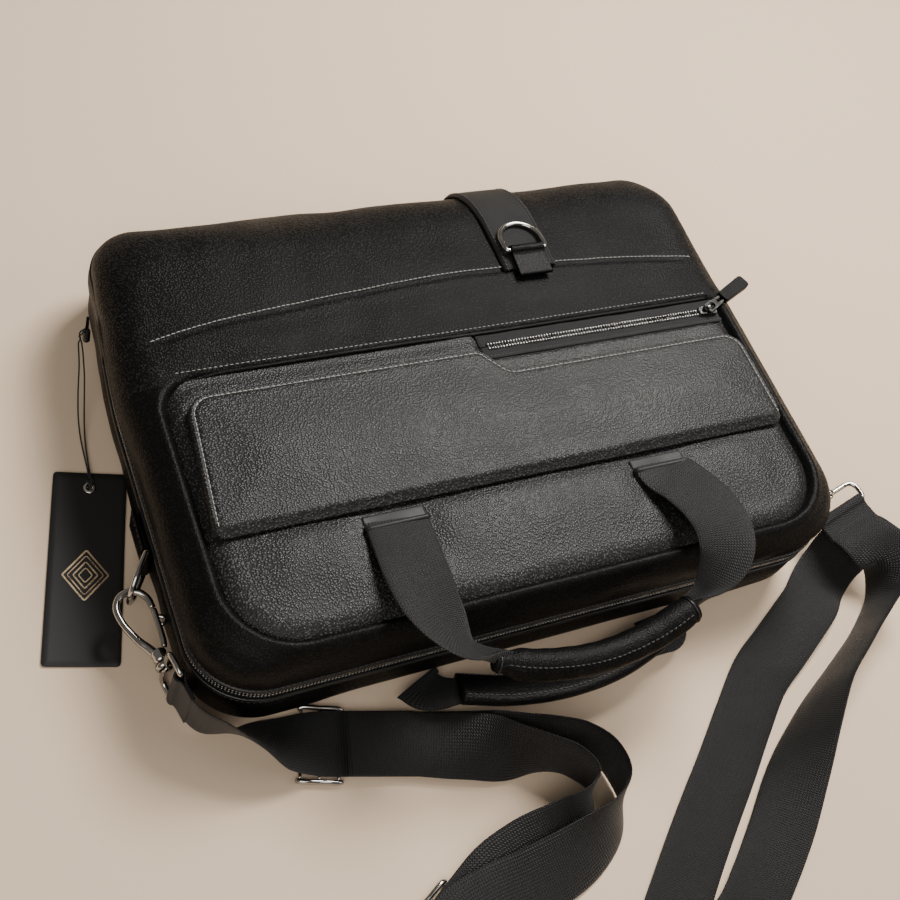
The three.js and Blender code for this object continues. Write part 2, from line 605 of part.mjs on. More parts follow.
// Each route point is [x, y, lift, roll]: lift is how far the webbing's lower edge is off the floor.
const STRAP_ROUTES = {
  strap_left: [
    [-209, -147.5, 4.6, 86], [-201, -153, 3.6, 80], [-186, -160, 2, 58], [-168, -166.5, 1.8, 24],
    [-146, -170.5, 3.6, 0], [-125, -176, 2, 0], [-100, -183, 0.6, -2], [-77, -190, 0.4, -6],
    [-55, -198, 0.4, -20], [-36, -204, 0.4, -50], [-18, -207, 0.4, -76], [-2, -213, 0.4, -86],
    [10, -227, 0.4, -90], [12, -245, 0.4, -96], [2, -261, 0.4, -120], [-22, -273, 0.6, -146],
    [-55, -279.5, 3.4, -166], [-82, -281.5, 5.8, -177], [-105, -287, 6.6, -180], [-124, -301, 3.4, -180],
    [-133, -320, 0.8, -180], [-126, -339, 0.6, -180], [-106, -350, 0.8, -180], [-76, -352, 2.4, -180],
    [-42.5, -350.5, 3.6, -180],
  ],
  strap_tail_left: [
    [-132, -175, 5.8, 0], [-118, -178.5, 4.8, 0], [-99, -184, 4, -2], [-78, -192, 4, -6],
    [-60, -199.5, 3.8, -20], [-44, -209, 1.6, -50], [-28, -216, 0.4, -74], [-13, -225, 0.4, -86],
    [-6, -238, 0.4, -96], [-14, -251, 0.4, -122], [-32, -259, 0.4, -144], [-54, -263, 0.6, -160],
    [-74, -269, 1.6, -172], [-88, -277, 2.8, -180], [-103.5, -286, 3.6, -180],
  ],
  strap_right: [
    [250, -139.5, 27, -14], [254, -150, 24, -26], [258, -164, 17.5, -50], [253, -180, 3.5, -72],
    [235, -194, 0.4, -80], [209, -210, 0.4, -80], [179, -228, 0.4, -74], [153, -249, 0.4, -58],
    [129, -272, 0.4, -36], [105, -298, 0.4, -16], [81, -320, 0.6, -4], [56, -338, 2.8, 0],
    [28, -347.5, 5.2, 0], [-6, -350.5, 6.6, 0], [-37.5, -350.5, 6.8, 0],
  ],
  strap_tail_right: [
    [247.5, -140, 16.5, -13], [237, -146.5, 5, 6], [222, -156.5, 0.8, 2],
    [207, -168.5, 0.6, -8], [188, -180, 0.4, -10],
    [166, -193, 0.4, -6], [144, -206, 0.4, -2], [118, -229, 0.4, 0], [92, -253, 0.4, 0],
    [66, -276, 0.4, 0], [41, -299, 0.4, 0], [18, -321, 0.4, 0], [-2, -340, 1.4, 0], [-18, -349, 3, 0],
    [-37.5, -350.5, 3.6, 0],
  ],
};
Object.entries(STRAP_ROUTES).forEach(([name, route]) => {
  const { width, thick } = WEBBING;
  const laid = route.map(([x, y, lift, roll]) => {
    const stand = Math.abs(Math.sin(THREE.MathUtils.degToRad(roll)));
    return [x, y, lift + (stand * width + thick) / 2, width, roll];
  });
  part(name, ribbon(laid, thick, route.length * 3), 'webbing');
});

// An adjuster: a flat ladder frame whose three bars lie under the webbing and whose rails stand at its edges.
function adjuster() {
  const half = WEBBING.width / 2;
  const rail = (side) => block([-12, 12], side > 0 ? [half + 1.2, half + 3.8] : [-half - 3.8, -half - 1.2], [0.3, 5.2]);
  const bars = [-11, 0, 11].map((x) => block([x - 1, x + 1], [-half - 2, half + 2], [0.3, 2]));
  return join(rail(-1), rail(1), ...bars);
}

const ADJUSTERS = {
  strap_adjuster_left: { at: [-146, -170.5, 0.2], heading: -0.33 },
  strap_buckle_left: { at: [-105, -287, 0.2], heading: 0.5 },
  strap_adjuster_bottom: { at: [-40, -350.5, 0.2], heading: 0 },
};
Object.entries(ADJUSTERS).forEach(([name, { at, heading }]) => {
  const buckle = part(name, adjuster(), 'metal');
  buckle.position.set(...at);
  buckle.rotation.z = heading;
});

// ---------- hang tag ----------
const TAG = { width: 43, length: 125, thick: 0.9, centre: [-244, -30], heading: -0.267, hole: 52 };
const tagGroup = new THREE.Group();
tagGroup.position.set(TAG.centre[0], TAG.centre[1], 0);
tagGroup.rotation.z = TAG.heading;
briefcase.add(tagGroup);
const tagOutline = roundedPolygon([
  [TAG.width / 2, TAG.length / 2, 2], [-TAG.width / 2, TAG.length / 2, 2],
  [-TAG.width / 2, -TAG.length / 2, 2], [TAG.width / 2, -TAG.length / 2, 2],
]);
const tagHole = new THREE.Path();
tagHole.absarc(0, TAG.hole, 2.6, 0, 2 * Math.PI, true);
tagOutline.holes.push(tagHole);
part('hang_tag_card', slab(tagOutline, 0.3, 0.3 + TAG.thick, 0, 6), 'card', tagGroup);
const eyelet = new THREE.LatheGeometry([[1.3, 0.1], [2.3, 0.1], [2.3, 1.3], [3.8, 1.5], [3.8, 1.9], [1.3, 1.9], [1.3, 0.1]]
  .map(([r, z]) => new THREE.Vector2(r, z)), 14).rotateX(Math.PI / 2);
part('hang_tag_eyelet', eyelet.translate(0, TAG.hole, 0), 'metal', tagGroup);

[['left', -1], ['right', 1]].forEach(([side, sign]) => {
  const tab = part(`zip_end_tab_${side}`, eyeTab(11, 1.5, 1.6, 9), 'edgeLeather');
  tab.position.set(sign * (BODY.half + 3.6), ZIP.end + 6, BODY.split);
  tab.rotation.z = Math.PI / 2;
});

const stringRoute = new THREE.CatmullRomCurve3([
  vec(-219, 99.2, 42.4), vec(-220, 92, 38.5), vec(-221, 85, 30), vec(-223, 76, 19), vec(-225, 66, 9), vec(-226.5, 55, 3.6),
  vec(-227.5, 44, 2.8), vec(-228.3, 33.5, 3.6), vec(-228.9, 25.4, 4.4),
], false, 'centripetal');
const stringSection = new THREE.Shape().absarc(0, 0, 0.8, 0, 2 * Math.PI);
part('hang_tag_string', new THREE.ExtrudeGeometry(stringSection, {
  steps: 30, curveSegments: 4, extrudePath: stringRoute, bevelEnabled: false,
}), 'string');
part('hang_tag_knot', new THREE.SphereGeometry(2, 10, 8).scale(1.15, 1.25, 0.95).translate(-229.4, 22, 4.1), 'string');

export default briefcase;
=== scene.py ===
"""A black pebbled-leather briefcase lying on its back, with its shoulder strap spread in front of it.

Lengths are in millimetres in the shared frame: +X along the width, +Y towards the bag's bottom edge, +Z up.
They become metres where a mesh, a modifier, the camera or a cord is made. The lights are placed in metres.
"""
import math

import bpy
import numpy as np
from mathutils import Matrix, Vector
from mathutils.bvhtree import BVHTree
from mathutils.geometry import delaunay_2d_cdt


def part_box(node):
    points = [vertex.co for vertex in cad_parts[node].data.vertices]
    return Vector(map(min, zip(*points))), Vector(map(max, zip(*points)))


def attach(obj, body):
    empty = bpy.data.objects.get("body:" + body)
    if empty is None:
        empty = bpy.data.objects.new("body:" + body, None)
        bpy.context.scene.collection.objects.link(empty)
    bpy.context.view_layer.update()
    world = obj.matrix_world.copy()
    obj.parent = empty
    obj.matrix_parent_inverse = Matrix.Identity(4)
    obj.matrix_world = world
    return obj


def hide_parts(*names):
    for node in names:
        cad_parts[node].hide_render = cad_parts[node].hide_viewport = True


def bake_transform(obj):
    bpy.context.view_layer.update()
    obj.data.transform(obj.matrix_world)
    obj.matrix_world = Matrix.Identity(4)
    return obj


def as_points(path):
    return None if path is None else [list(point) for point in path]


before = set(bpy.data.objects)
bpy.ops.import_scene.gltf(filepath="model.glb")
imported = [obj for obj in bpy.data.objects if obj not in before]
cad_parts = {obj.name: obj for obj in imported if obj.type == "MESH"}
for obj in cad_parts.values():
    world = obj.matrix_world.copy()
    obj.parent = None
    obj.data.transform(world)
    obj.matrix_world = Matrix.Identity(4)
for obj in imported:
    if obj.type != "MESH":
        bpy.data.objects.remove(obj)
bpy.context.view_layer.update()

MM = 0.001


# ---------------------------------------------------------------- camera

CAMERA_AT = Vector((-340.9, -366.6, 692.5)) * MM
CAMERA_LOOK = Vector((0.40236, 0.42782, -0.80937))
CAMERA_RIGHT = Vector((0.89847, -0.35416, 0.25945))
FOCAL_MM = 51.14
SENSOR_MM = 36


def make_camera():
    data = bpy.data.cameras.new("camera")
    data.lens = FOCAL_MM
    data.sensor_width = SENSOR_MM
    data.clip_start = 0.01
    camera = bpy.data.objects.new("camera", data)
    back = -CAMERA_LOOK.normalized()
    right = (CAMERA_RIGHT - back * CAMERA_RIGHT.dot(back)).normalized()
    up = back.cross(right)
    camera.matrix_world = Matrix.Translation(CAMERA_AT) @ Matrix((right, up, back)).transposed().to_4x4()
    bpy.context.collection.objects.link(camera)
    bpy.context.scene.camera = camera


make_camera()


# ---------------------------------------------------------------- node materials


class Shade:
    """A material's node tree, with short names for the nodes that the finishes share."""

    def __init__(self, name, color, roughness, metallic=0.0, **sockets):
        self.material = bpy.data.materials.new(name)
        self.material.use_nodes = True
        self.tree = self.material.node_tree
        self.surface = self.tree.nodes["Principled BSDF"]
        self.surface.inputs["Base Color"].default_value = (*color, 1)
        self.surface.inputs["Roughness"].default_value = roughness
        self.surface.inputs["Metallic"].default_value = metallic
        for socket, value in sockets.items():
            self.surface.inputs[socket.replace("_", " ")].default_value = value
        self.height = None

    def node(self, kind, values=None, **settings):
        made = self.tree.nodes.new(kind)
        for key, value in settings.items():
            setattr(made, key, value)
        for key, value in (values or {}).items():
            if hasattr(value, "links"):
                self.tree.links.new(value, made.inputs[key])
            else:
                made.inputs[key].default_value = value
        return made

    def link(self, source, socket):
        self.tree.links.new(source, self.surface.inputs[socket])

    def math(self, operation, a, b=0.0, c=0.0):
        return self.node("ShaderNodeMath", {0: a, 1: b, 2: c}, operation=operation).outputs[0]

    def place(self):
        return self.node("ShaderNodeTexCoord").outputs["Object"]

    def noise(self, per_metre, detail=3.0, vector=None, roughness=0.5):
        values = {"Scale": per_metre, "Detail": detail, "Roughness": roughness,
                  "Vector": vector or self.place()}
        return self.node("ShaderNodeTexNoise", values).outputs["Fac"]

    def span(self, value, low, high, to_low=0.0, to_high=1.0):
        values = {"Value": value, "From Min": low, "From Max": high, "To Min": to_low, "To Max": to_high}
        return self.node("ShaderNodeMapRange", values, interpolation_type="SMOOTHSTEP").outputs[0]

    def mix(self, factor, first, second):
        values = {"Factor": factor, "A": (*first, 1), "B": (*second, 1)}
        made = self.node("ShaderNodeMix", data_type="RGBA")
        inputs = [s for s in made.inputs if s.enabled]
        for socket, value in zip(inputs, values.values()):
            if hasattr(value, "links"):
                self.tree.links.new(value, socket)
            else:
                socket.default_value = value
        return [s for s in made.outputs if s.enabled][0]

    def color(self, factor, first, second):
        self.link(self.mix(factor, first, second), "Base Color")

    def roughness(self, factor, low, high):
        self.link(self.span(factor, 0, 1, low, high), "Roughness")

    def bump(self, height, depth_mm, strength=1.0):
        values = {"Height": height, "Distance": depth_mm * MM, "Strength": strength}
        made = self.node("ShaderNodeBump", values)
        if self.height is not None:
            self.tree.links.new(self.height, made.inputs["Normal"])
        self.height = made.outputs["Normal"]
        self.link(self.height, "Normal")


def pebbled(name, cell, depth, tone, gloss, crease=0.5, shine=0.3, crown=1.5):
    """Full-grain leather: round pebbles of about cell millimetres between fine creases. The crease factor
    darkens the creases as painted shade and the crown factor lightens the pebbles' tops as painted
    highlights, next to the tone."""
    s = Shade(name, (tone, tone, tone * 1.04), gloss, Specular_IOR_Level=shine, IOR=1.35)
    place = s.place()
    wander = s.node("ShaderNodeTexNoise", {"Scale": 260.0, "Detail": 1.0, "Vector": place}).outputs["Color"]
    shift = s.node("ShaderNodeVectorMath", {0: wander, 1: (0.5, 0.5, 0.5)}, operation="SUBTRACT").outputs[0]
    scaled = s.node("ShaderNodeVectorMath", {0: shift, 3: 0.0006}, operation="SCALE").outputs[0]
    warped = s.node("ShaderNodeVectorMath", {0: place, 1: scaled}, operation="ADD").outputs[0]
    cells = s.node("ShaderNodeTexVoronoi", {"Scale": 1000 / cell, "Vector": warped}, feature="F1")
    pebble = s.span(cells.outputs["Distance"], 0.75, 0.12)
    dot = s.span(cells.outputs["Distance"], 0.5, 0.1)
    own = s.node("ShaderNodeSeparateColor", {0: cells.outputs["Color"]}).outputs["Red"]
    fold = s.noise(38.0, 4.0, place)
    pores = s.noise(2600.0, 2.0, place)
    s.bump(fold, 0.5, 0.35)
    s.bump(pebble, depth, 0.9)
    s.bump(pores, 0.05, 0.35)
    patch = s.noise(24.0, 3.0, place)
    varied = s.math("MULTIPLY", s.span(own, 0.1, 0.9, 0.35, 1.0), s.span(patch, 0.3, 0.7, 0.75, 1.0))
    # Painted highlights on the pebbles' tops and painted shade in the creases; their strength varies at
    # random per pebble and in patches.
    light = s.math("MULTIPLY", dot, varied)
    s.color(light, (tone * crease,) * 3, (tone * crown, tone * crown, tone * crown * 1.05))
    worn = s.math("MULTIPLY_ADD", pebble, -0.5, s.span(patch, 0.3, 0.7, 0.7, 1.0))
    s.roughness(worn, gloss - 0.08, gloss + 0.16)
    return s.material


def smooth_leather(name, tone, gloss):
    """Edge leather, rolled and burnished, with a shallow fine grain."""
    s = Shade(name, (tone, tone, tone), gloss, Specular_IOR_Level=0.4, Coat_Weight=0.15,
              Coat_Roughness=0.25)
    place = s.place()
    cells = s.node("ShaderNodeTexVoronoi", {"Scale": 1150.0, "Vector": place},
                   feature="F1").outputs["Distance"]
    grain = s.span(cells, 0.8, 0.1)
    patch = s.noise(30.0, 4.0, place)
    s.bump(patch, 0.7, 0.3)
    s.bump(grain, 0.09, 0.7)
    s.color(s.span(patch, 0.3, 0.7), (tone * 0.6,) * 3, (tone * 1.5,) * 3)
    s.roughness(s.math("MULTIPLY_ADD", grain, -0.3, patch), gloss - 0.05, gloss + 0.2)
    return s.material


def woven(name, tone, rib, gloss=0.62, tint=(1, 1, 1.05), depth=0.22, by_uv=True, sheen=0.25):
    """Woven yarn: ribs across the length crossed by finer columns, rib millimetres apart."""
    low = tuple(tone * 0.45 * t for t in tint)
    high = tuple(tone * 1.5 * t for t in tint)
    s = Shade(name, high, gloss, Sheen_Weight=sheen, Sheen_Roughness=0.4, Specular_IOR_Level=0.35)
    coordinates = s.node("ShaderNodeTexCoord")
    place = coordinates.outputs["Object"]
    if by_uv:
        axes = s.node("ShaderNodeSeparateXYZ", {0: coordinates.outputs["UV"]})
        across, along = axes.outputs["X"], axes.outputs["Y"]
    else:
        axes = s.node("ShaderNodeSeparateXYZ", {0: place})
        across, along = axes.outputs["X"], s.math("ADD", axes.outputs["Y"], axes.outputs["Z"])
    turn = 2 * math.pi * 1000 / rib
    wave_a = s.math("SINE", s.math("MULTIPLY", across, turn * 0.8))
    wave_b = s.math("SINE", s.math("MULTIPLY_ADD", along, turn, s.math("MULTIPLY", wave_a, 1.3)))
    weave = s.math("MULTIPLY_ADD", wave_b, 0.5, 0.5)
    yarn = s.noise(900.0, 2.0, place)
    s.bump(weave, depth, 0.85)
    s.bump(yarn, 0.08, 0.5)
    fade = s.noise(45.0, 4.0, place)
    # The ribs' colour follows their height: painted shade in the grooves between the yarns and painted
    # highlights on the ribs' tops, faded at random in patches.
    s.color(s.math("MULTIPLY", weave, s.span(fade, 0.25, 0.75, 0.55, 1.0)), low, high)
    s.roughness(fade, gloss - 0.06, gloss + 0.14)
    return s.material


def plated(name, tone, gloss, wear=0.5):
    """Polished plating with faint cloudy wear and fine scratches."""
    s = Shade(name, tone, gloss, metallic=1.0)
    place = s.place()
    cloud = s.noise(120.0, 5.0, place)
    stretched = s.node("ShaderNodeMapping", {"Vector": place, "Scale": (1, 14, 3)}).outputs[0]
    scratch = s.noise(520.0, 3.0, stretched, 0.7)
    s.bump(scratch, 0.02, 0.4)
    s.color(s.span(cloud, 0.35, 0.7), tuple(c * (1 - 0.35 * wear) for c in tone), tone)
    s.roughness(s.math("MULTIPLY", cloud, scratch), gloss * 0.6, gloss * 2.2)
    return s.material


def thread(name, color):
    """Waxed sewing thread, twisted from fine strands."""
    s = Shade(name, color, 0.5, Sheen_Weight=0.3)
    strands = s.noise(3200.0, 1.0)
    s.bump(strands, 0.08, 0.6)
    s.color(strands, tuple(c * 0.55 for c in color), color)
    return s.material


def card_stock(name, tone):
    """Uncoated card with a felt of short fibres."""
    s = Shade(name, (tone,) * 3, 0.62)
    fibre = s.noise(1500.0, 5.0, None, 0.7)
    s.bump(fibre, 0.03, 0.5)
    s.color(fibre, (tone * 0.7,) * 3, (tone * 1.25,) * 3)
    s.roughness(fibre, 0.52, 0.7)
    return s.material


def plain_floor(name):
    """Pale warm studio floor with the faintest mottle."""
    s = Shade(name, (0.76, 0.59, 0.435), 0.85, Specular_IOR_Level=0.15)
    mottle = s.noise(3.0, 3.0)
    s.color(mottle, (0.745, 0.58, 0.425), (0.775, 0.605, 0.445))
    return s.material


# Lit and shaded copies of one pebbled leather. The flap and pocket take the brightest copy, with the
# strongest painted highlights. The bottom panel, the walls, grips, loops and tabs take darker copies, whose
# lower tone and weaker painted highlights are painted shade. The walls' copy also has a shallower grain.
LEATHER = pebbled("leather_pebbled", 1.35, 0.25, 0.008, 0.37, shine=0.62, crown=11)
LEATHER_TOP_SHADED = pebbled("leather_pebbled_dark", 1.35, 0.24, 0.0045, 0.42, shine=0.2, crown=7)
LEATHER_LOW_SHADED = pebbled("leather_low_grain", 1.35, 0.16, 0.0035, 0.38, 0.6, shine=0.2, crown=4)
EDGE = smooth_leather("leather_edge", 0.007, 0.34)
WEBBING = woven("webbing", 0.007, 1.5, 0.5, depth=0.4, sheen=0.1)
WEBBING_BAND = woven("webbing_band", 0.005, 1.5, depth=0.3, sheen=0.02)
TAPE = woven("zip_tape", 0.008, 1.3, depth=0.3, sheen=0.05)
LINING = woven("lining", 0.085, 1.6, 0.85, (1, 1.03, 1.08), 0.12, by_uv=False)
TEETH = plated("zip_teeth", (0.36, 0.35, 0.34), 0.32)
HARDWARE = plated("hardware", (0.5, 0.485, 0.465), 0.16)
DARK_METAL = plated("dark_metal", (0.13, 0.127, 0.124), 0.22)
THREAD = thread("thread_grey", (0.42, 0.41, 0.39))
THREAD_DARK = thread("thread_black", (0.03, 0.03, 0.032))
CARD = card_stock("card_black", 0.008)
FOIL = plated("foil_gold", (0.72, 0.56, 0.36), 0.34, 0.3)
EYELET = plated("eyelet_pale", (0.8, 0.76, 0.68), 0.25, 0.3)
STRING = woven("string", 0.014, 0.6, 0.7, depth=0.1, by_uv=False)
FLOOR = plain_floor("floor_beige")


# ---------------------------------------------------------------- mesh making


def unit(v):
    v = np.asarray(v, float)
    length = np.linalg.norm(v, axis=-1, keepdims=True)
    return v / np.where(length == 0, 1, length)


def make(name, points, faces, material, uv=None, smooth=True):
    """A mesh object from points in millimetres. uv gives one (u, v) in metres for each point."""
    mesh = bpy.data.meshes.new(name)
    mesh.from_pydata((np.asarray(points, float) * MM).tolist(), [], [list(map(int, f)) for f in faces])
    mesh.validate()
    mesh.materials.append(material)
    if uv is not None:
        layer = mesh.uv_layers.new(name="UVMap")
        loops = np.zeros(len(mesh.loops), np.int32)
        mesh.loops.foreach_get("vertex_index", loops)
        layer.data.foreach_set("uv", np.asarray(uv, np.float32)[loops].ravel())
    mesh.polygons.foreach_set("use_smooth", [smooth] * len(mesh.polygons))
    mesh.update()
    obj = bpy.data.objects.new(name, mesh)
    bpy.context.collection.objects.link(obj)
    return obj


def grid_faces(rows, columns, closed_columns=True, closed_rows=False):
    """The four-sided faces between neighbouring rows of points."""
    faces = []
    for r in range(rows if closed_rows else rows - 1):
        for c in range(columns if closed_columns else columns - 1):
            r2, c2 = (r + 1) % rows, (c + 1) % columns
            faces.append((r * columns + c, r * columns + c2, r2 * columns + c2, r2 * columns + c))
    return faces


class Build:
    """Collects pieces of mesh that end up as one object."""

    def __init__(self):
        self.points, self.faces, self.uv, self.count = [], [], [], 0

    def add(self, points, faces, uv=None):
        points = np.asarray(points, float).reshape(-1, 3)
        self.points.append(points)
        self.faces += [tuple(i + self.count for i in f) for f in faces]
        self.uv.append(np.zeros((len(points), 2)) if uv is None else np.asarray(uv, float).reshape(-1, 2))
        self.count += len(points)

    def loft(self, rings, closed=False, caps=True, uv=None):
        rings = np.asarray(rings, float)
        rows, columns = rings.shape[:2]
        faces = grid_faces(rows, columns, True, closed)
        if caps and not closed:
            faces += [tuple(range(columns))[::-1], tuple(range((rows - 1) * columns, rows * columns))]
        self.add(rings, faces, uv)

    def done(self, name, material, smooth=True):
        return make(name, np.vstack(self.points), self.faces, material, np.vstack(self.uv), smooth)


def bevelled(obj, width, segments=2):
    modifier = obj.modifiers.new("bevel", "BEVEL")
    modifier.width = width * MM
    modifier.segments = segments
    modifier.limit_method = "ANGLE"
    modifier.harden_normals = False
    return obj


def thickened(obj, thickness, offset=-1):
    """Makes a sheet solid: offset -1 grows it against its normals, 1 along them and 0 both ways."""
    modifier = obj.modifiers.new("thickness", "SOLIDIFY")
    modifier.thickness = thickness * MM
    modifier.offset = offset
    return obj


def settle(obj, body, slot, *nodes):
    """Rides obj on its body and hides the CAD nodes that it stands for. The slot is not used."""
    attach(obj, body)
    if nodes:
        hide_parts(*nodes)
    return obj


def smoothstep(value, low, high):
    t = np.clip((np.asarray(value, float) - low) / (high - low), 0, 1)
    return t * t * (3 - 2 * t)


def ripple(points, scale, seed, waves=9):
    """Smooth seeded noise of about -1 to 1, with features of about scale millimetres."""
    random = np.random.default_rng(seed)
    directions = unit(random.normal(size=(waves, 3))) * random.uniform(0.6, 1.5, (waves, 1))
    phases = random.uniform(0, 2 * math.pi, waves)
    return np.sin(np.asarray(points, float) @ directions.T * (2 * math.pi / scale)
                  + phases).sum(-1) / math.sqrt(waves) * 0.8


def run_of(line):
    """The distance along a line at each of its points."""
    return np.concatenate([[0], np.cumsum(np.linalg.norm(np.diff(line, axis=0), axis=1))])


def length_of(line):
    return np.linalg.norm(np.diff(line, axis=0), axis=1).sum()


def line_at(x, y, z):
    """A line of points from x, y and z, each of which is one number or a row of them."""
    return np.column_stack(np.broadcast_arrays(*(np.asarray(v, float) for v in (x, y, z))))


def uv_of(across, along):
    """The uv in metres of a grid, from millimetres across it and along it."""
    return np.stack(np.broadcast_arrays(across, along), -1) * MM


def resample(points, count, closed=False):
    """The same line with count points at even steps."""
    points = np.asarray(points, float)
    if closed:
        points = np.vstack([points, points[:1]])
    lengths = run_of(points)
    targets = np.linspace(0, lengths[-1], count + 1 if closed else count)
    made = np.stack([np.interp(targets, lengths, points[:, k]) for k in range(points.shape[1])], axis=1)
    return made[:-1] if closed else made


def spline(points, count):
    """A centripetal Catmull-Rom curve through the points, sampled count times at even steps."""
    p = np.asarray(points, float)
    p = np.vstack([2 * p[0] - p[1], p, 2 * p[-1] - p[-2]])
    out = []
    spans = len(p) - 3
    fine = max(count * 2 // spans, 8)
    for i in range(spans):
        a, b, c, d = p[i : i + 4]
        knots = [0.0]
        for q, r in ((a, b), (b, c), (c, d)):
            knots.append(knots[-1] + max(np.linalg.norm(r[:3] - q[:3]), 1e-6) ** 0.5)
        t0, t1, t2, t3 = knots
        t = np.linspace(t1, t2, fine, endpoint=i == spans - 1)[:, None]
        a1 = (t1 - t) / (t1 - t0) * a + (t - t0) / (t1 - t0) * b
        a2 = (t2 - t) / (t2 - t1) * b + (t - t1) / (t2 - t1) * c
        a3 = (t3 - t) / (t3 - t2) * c + (t - t2) / (t3 - t2) * d
        b1 = (t2 - t) / (t2 - t0) * a1 + (t - t0) / (t2 - t0) * a2
        b2 = (t3 - t) / (t3 - t1) * a2 + (t - t1) / (t3 - t1) * a3
        out.append((t2 - t) / (t2 - t1) * b1 + (t - t1) / (t2 - t1) * b2)
    made = np.vstack(out)
    lengths = run_of(made[:, :3])
    targets = np.linspace(0, lengths[-1], count)
    return np.stack([np.interp(targets, lengths, made[:, k]) for k in range(made.shape[1])], axis=1)


def tangents(line, closed=False):
    if closed:
        return unit(np.roll(line, -1, 0) - np.roll(line, 1, 0))
    return unit(np.gradient(line, axis=0))


def tube_rings(line, radius, sides=12, closed=False, normal=(0, 0, 1), flat=1.0):
    """Rings round a line. flat squeezes the section along the normal."""
    line = np.asarray(line, float)
    along = tangents(line, closed)
    across = unit(np.cross(np.asarray(normal, float), along))
    above = np.cross(along, across)
    turn = 2 * math.pi * (np.arange(sides) + 0.5) / sides
    radius = np.broadcast_to(np.asarray(radius, float), (len(line),))[:, None, None]
    return line[:, None] + radius * (
        across[:, None] * np.cos(turn)[None, :, None] + flat * above[:, None] * np.sin(turn)[None, :, None]
    )


def tube(line, radius, sides=12, closed=False, normal=(0, 0, 1), flat=1.0):
    made = Build()
    made.loft(tube_rings(line, radius, sides, closed, normal, flat), closed)
    return made


def lofted(name, material, rings, uv=None, closed=False):
    """One object that joins ring to ring."""
    made = Build()
    made.loft(rings, closed, uv=uv)
    return made.done(name, material)


def sheet_of(name, material, rows, uv=None):
    """One open sheet through rows of points."""
    rows = np.asarray(rows, float)
    made = Build()
    made.add(rows, grid_faces(*rows.shape[:2], closed_columns=False), uv)
    return made.done(name, material)


def lathe_rings(profile, sides=20):
    """Rings about the X axis from a profile of (radius, x)."""
    turn = 2 * math.pi * np.arange(sides) / sides
    return np.array([[(x, r * math.cos(t), r * math.sin(t)) for t in turn] for r, x in profile])


def placed(points, origin, x_axis, y_axis, z_axis):
    points = np.asarray(points, float)
    basis = np.stack([np.asarray(x_axis, float), np.asarray(y_axis, float), np.asarray(z_axis, float)])
    return points @ basis + np.asarray(origin, float)


def box_points(low, high):
    (x0, y0, z0), (x1, y1, z1) = low, high
    return [(x0, y0, z0), (x1, y0, z0), (x1, y1, z0), (x0, y1, z0), (x0, y0, z1), (x1, y0, z1),
            (x1, y1, z1), (x0, y1, z1)]


BOX_FACES = [(0, 3, 2, 1), (4, 5, 6, 7), (0, 1, 5, 4), (1, 2, 6, 5), (2, 3, 7, 6), (3, 0, 4, 7)]


def stitches(name, line, up, body, slot="leather", material=THREAD, pitch=3.6, length=2.7, radius=0.42,
             sink=0.1):
    """A row of short thread stitches along a line that lies on a surface with the normal up."""
    line = np.asarray(line, float)
    count = max(int(length_of(line) / pitch), 2)
    centres = resample(line, count)
    along = tangents(centres)
    up = np.broadcast_to(np.asarray(up, float), centres.shape) if np.ndim(up) == 1 else resample(up, count)
    made = Build()
    for centre, direction, normal in zip(centres, along, unit(up)):
        reach = np.linspace(-1, 1, 5)[:, None]
        bow = centre + direction * reach * length / 2 + normal * (radius * (0.9 - 1.3 * reach**2) - sink)
        made.loft(tube_rings(bow, radius * np.array([0.6, 1, 1.05, 1, 0.6]), 6, normal=normal))
    return settle(made.done(name, material), body, slot)


def ribbon_frame(path):
    """The centre, width, direction across and facing direction of a ribbon, from its sampled route."""
    centre, width, roll = path[:, :3], path[:, 3], np.radians(path[:, 4])
    along = tangents(centre)
    level = unit(np.cross(along, (0, 0, 1)))
    up = np.cross(level, along)
    across = level * np.cos(roll)[:, None] + up * np.sin(roll)[:, None]
    return centre, width, across, np.cross(across, along)


def ribbon_rings(route, thick, count, columns=13, wobble=0.0, seed=0, cup=None):
    """Flat webbing along a route of [x, y, z, width, roll in degrees]: its rings, uv and centre line."""
    centre, width, across, face = ribbon_frame(spline(route, count))
    u = np.sin(np.linspace(-1, 1, columns) * math.pi / 2)
    lift = np.sqrt(np.clip(1 - np.abs(u) ** 8, 0, 1)) * 0.5
    lift[[0, -1]] = 0.12
    section = np.array([*zip(u, lift), *zip(u[::-1], -lift[::-1])])
    bend = np.zeros(count) if cup is None else np.interp(np.linspace(0, 1, count), *zip(*cup))
    away = centre[:, None] + across[:, None] * (section[:, 0][None, :, None] * width[:, None, None] / 2)
    wave = ripple(away.reshape(-1, 3), 46, seed).reshape(away.shape[:2]) * wobble if wobble else 0
    off = section[:, 1][None] * thick + bend[:, None] * (section[:, 0][None] ** 2) + wave
    rings = away + face[:, None] * off[:, :, None]
    return rings, uv_of(section[:, 0] * WEB_HALF, run_of(centre)[:, None]), centre


# ---------------------------------------------------------------- shoulder strap and tag string

STRAP_WIDTH = 38
STRAP_THICK = 1.8
STRAP_STEP = 2.5
HANDLE_THICK = 2.4
WEB_HALF = STRAP_WIDTH / 2
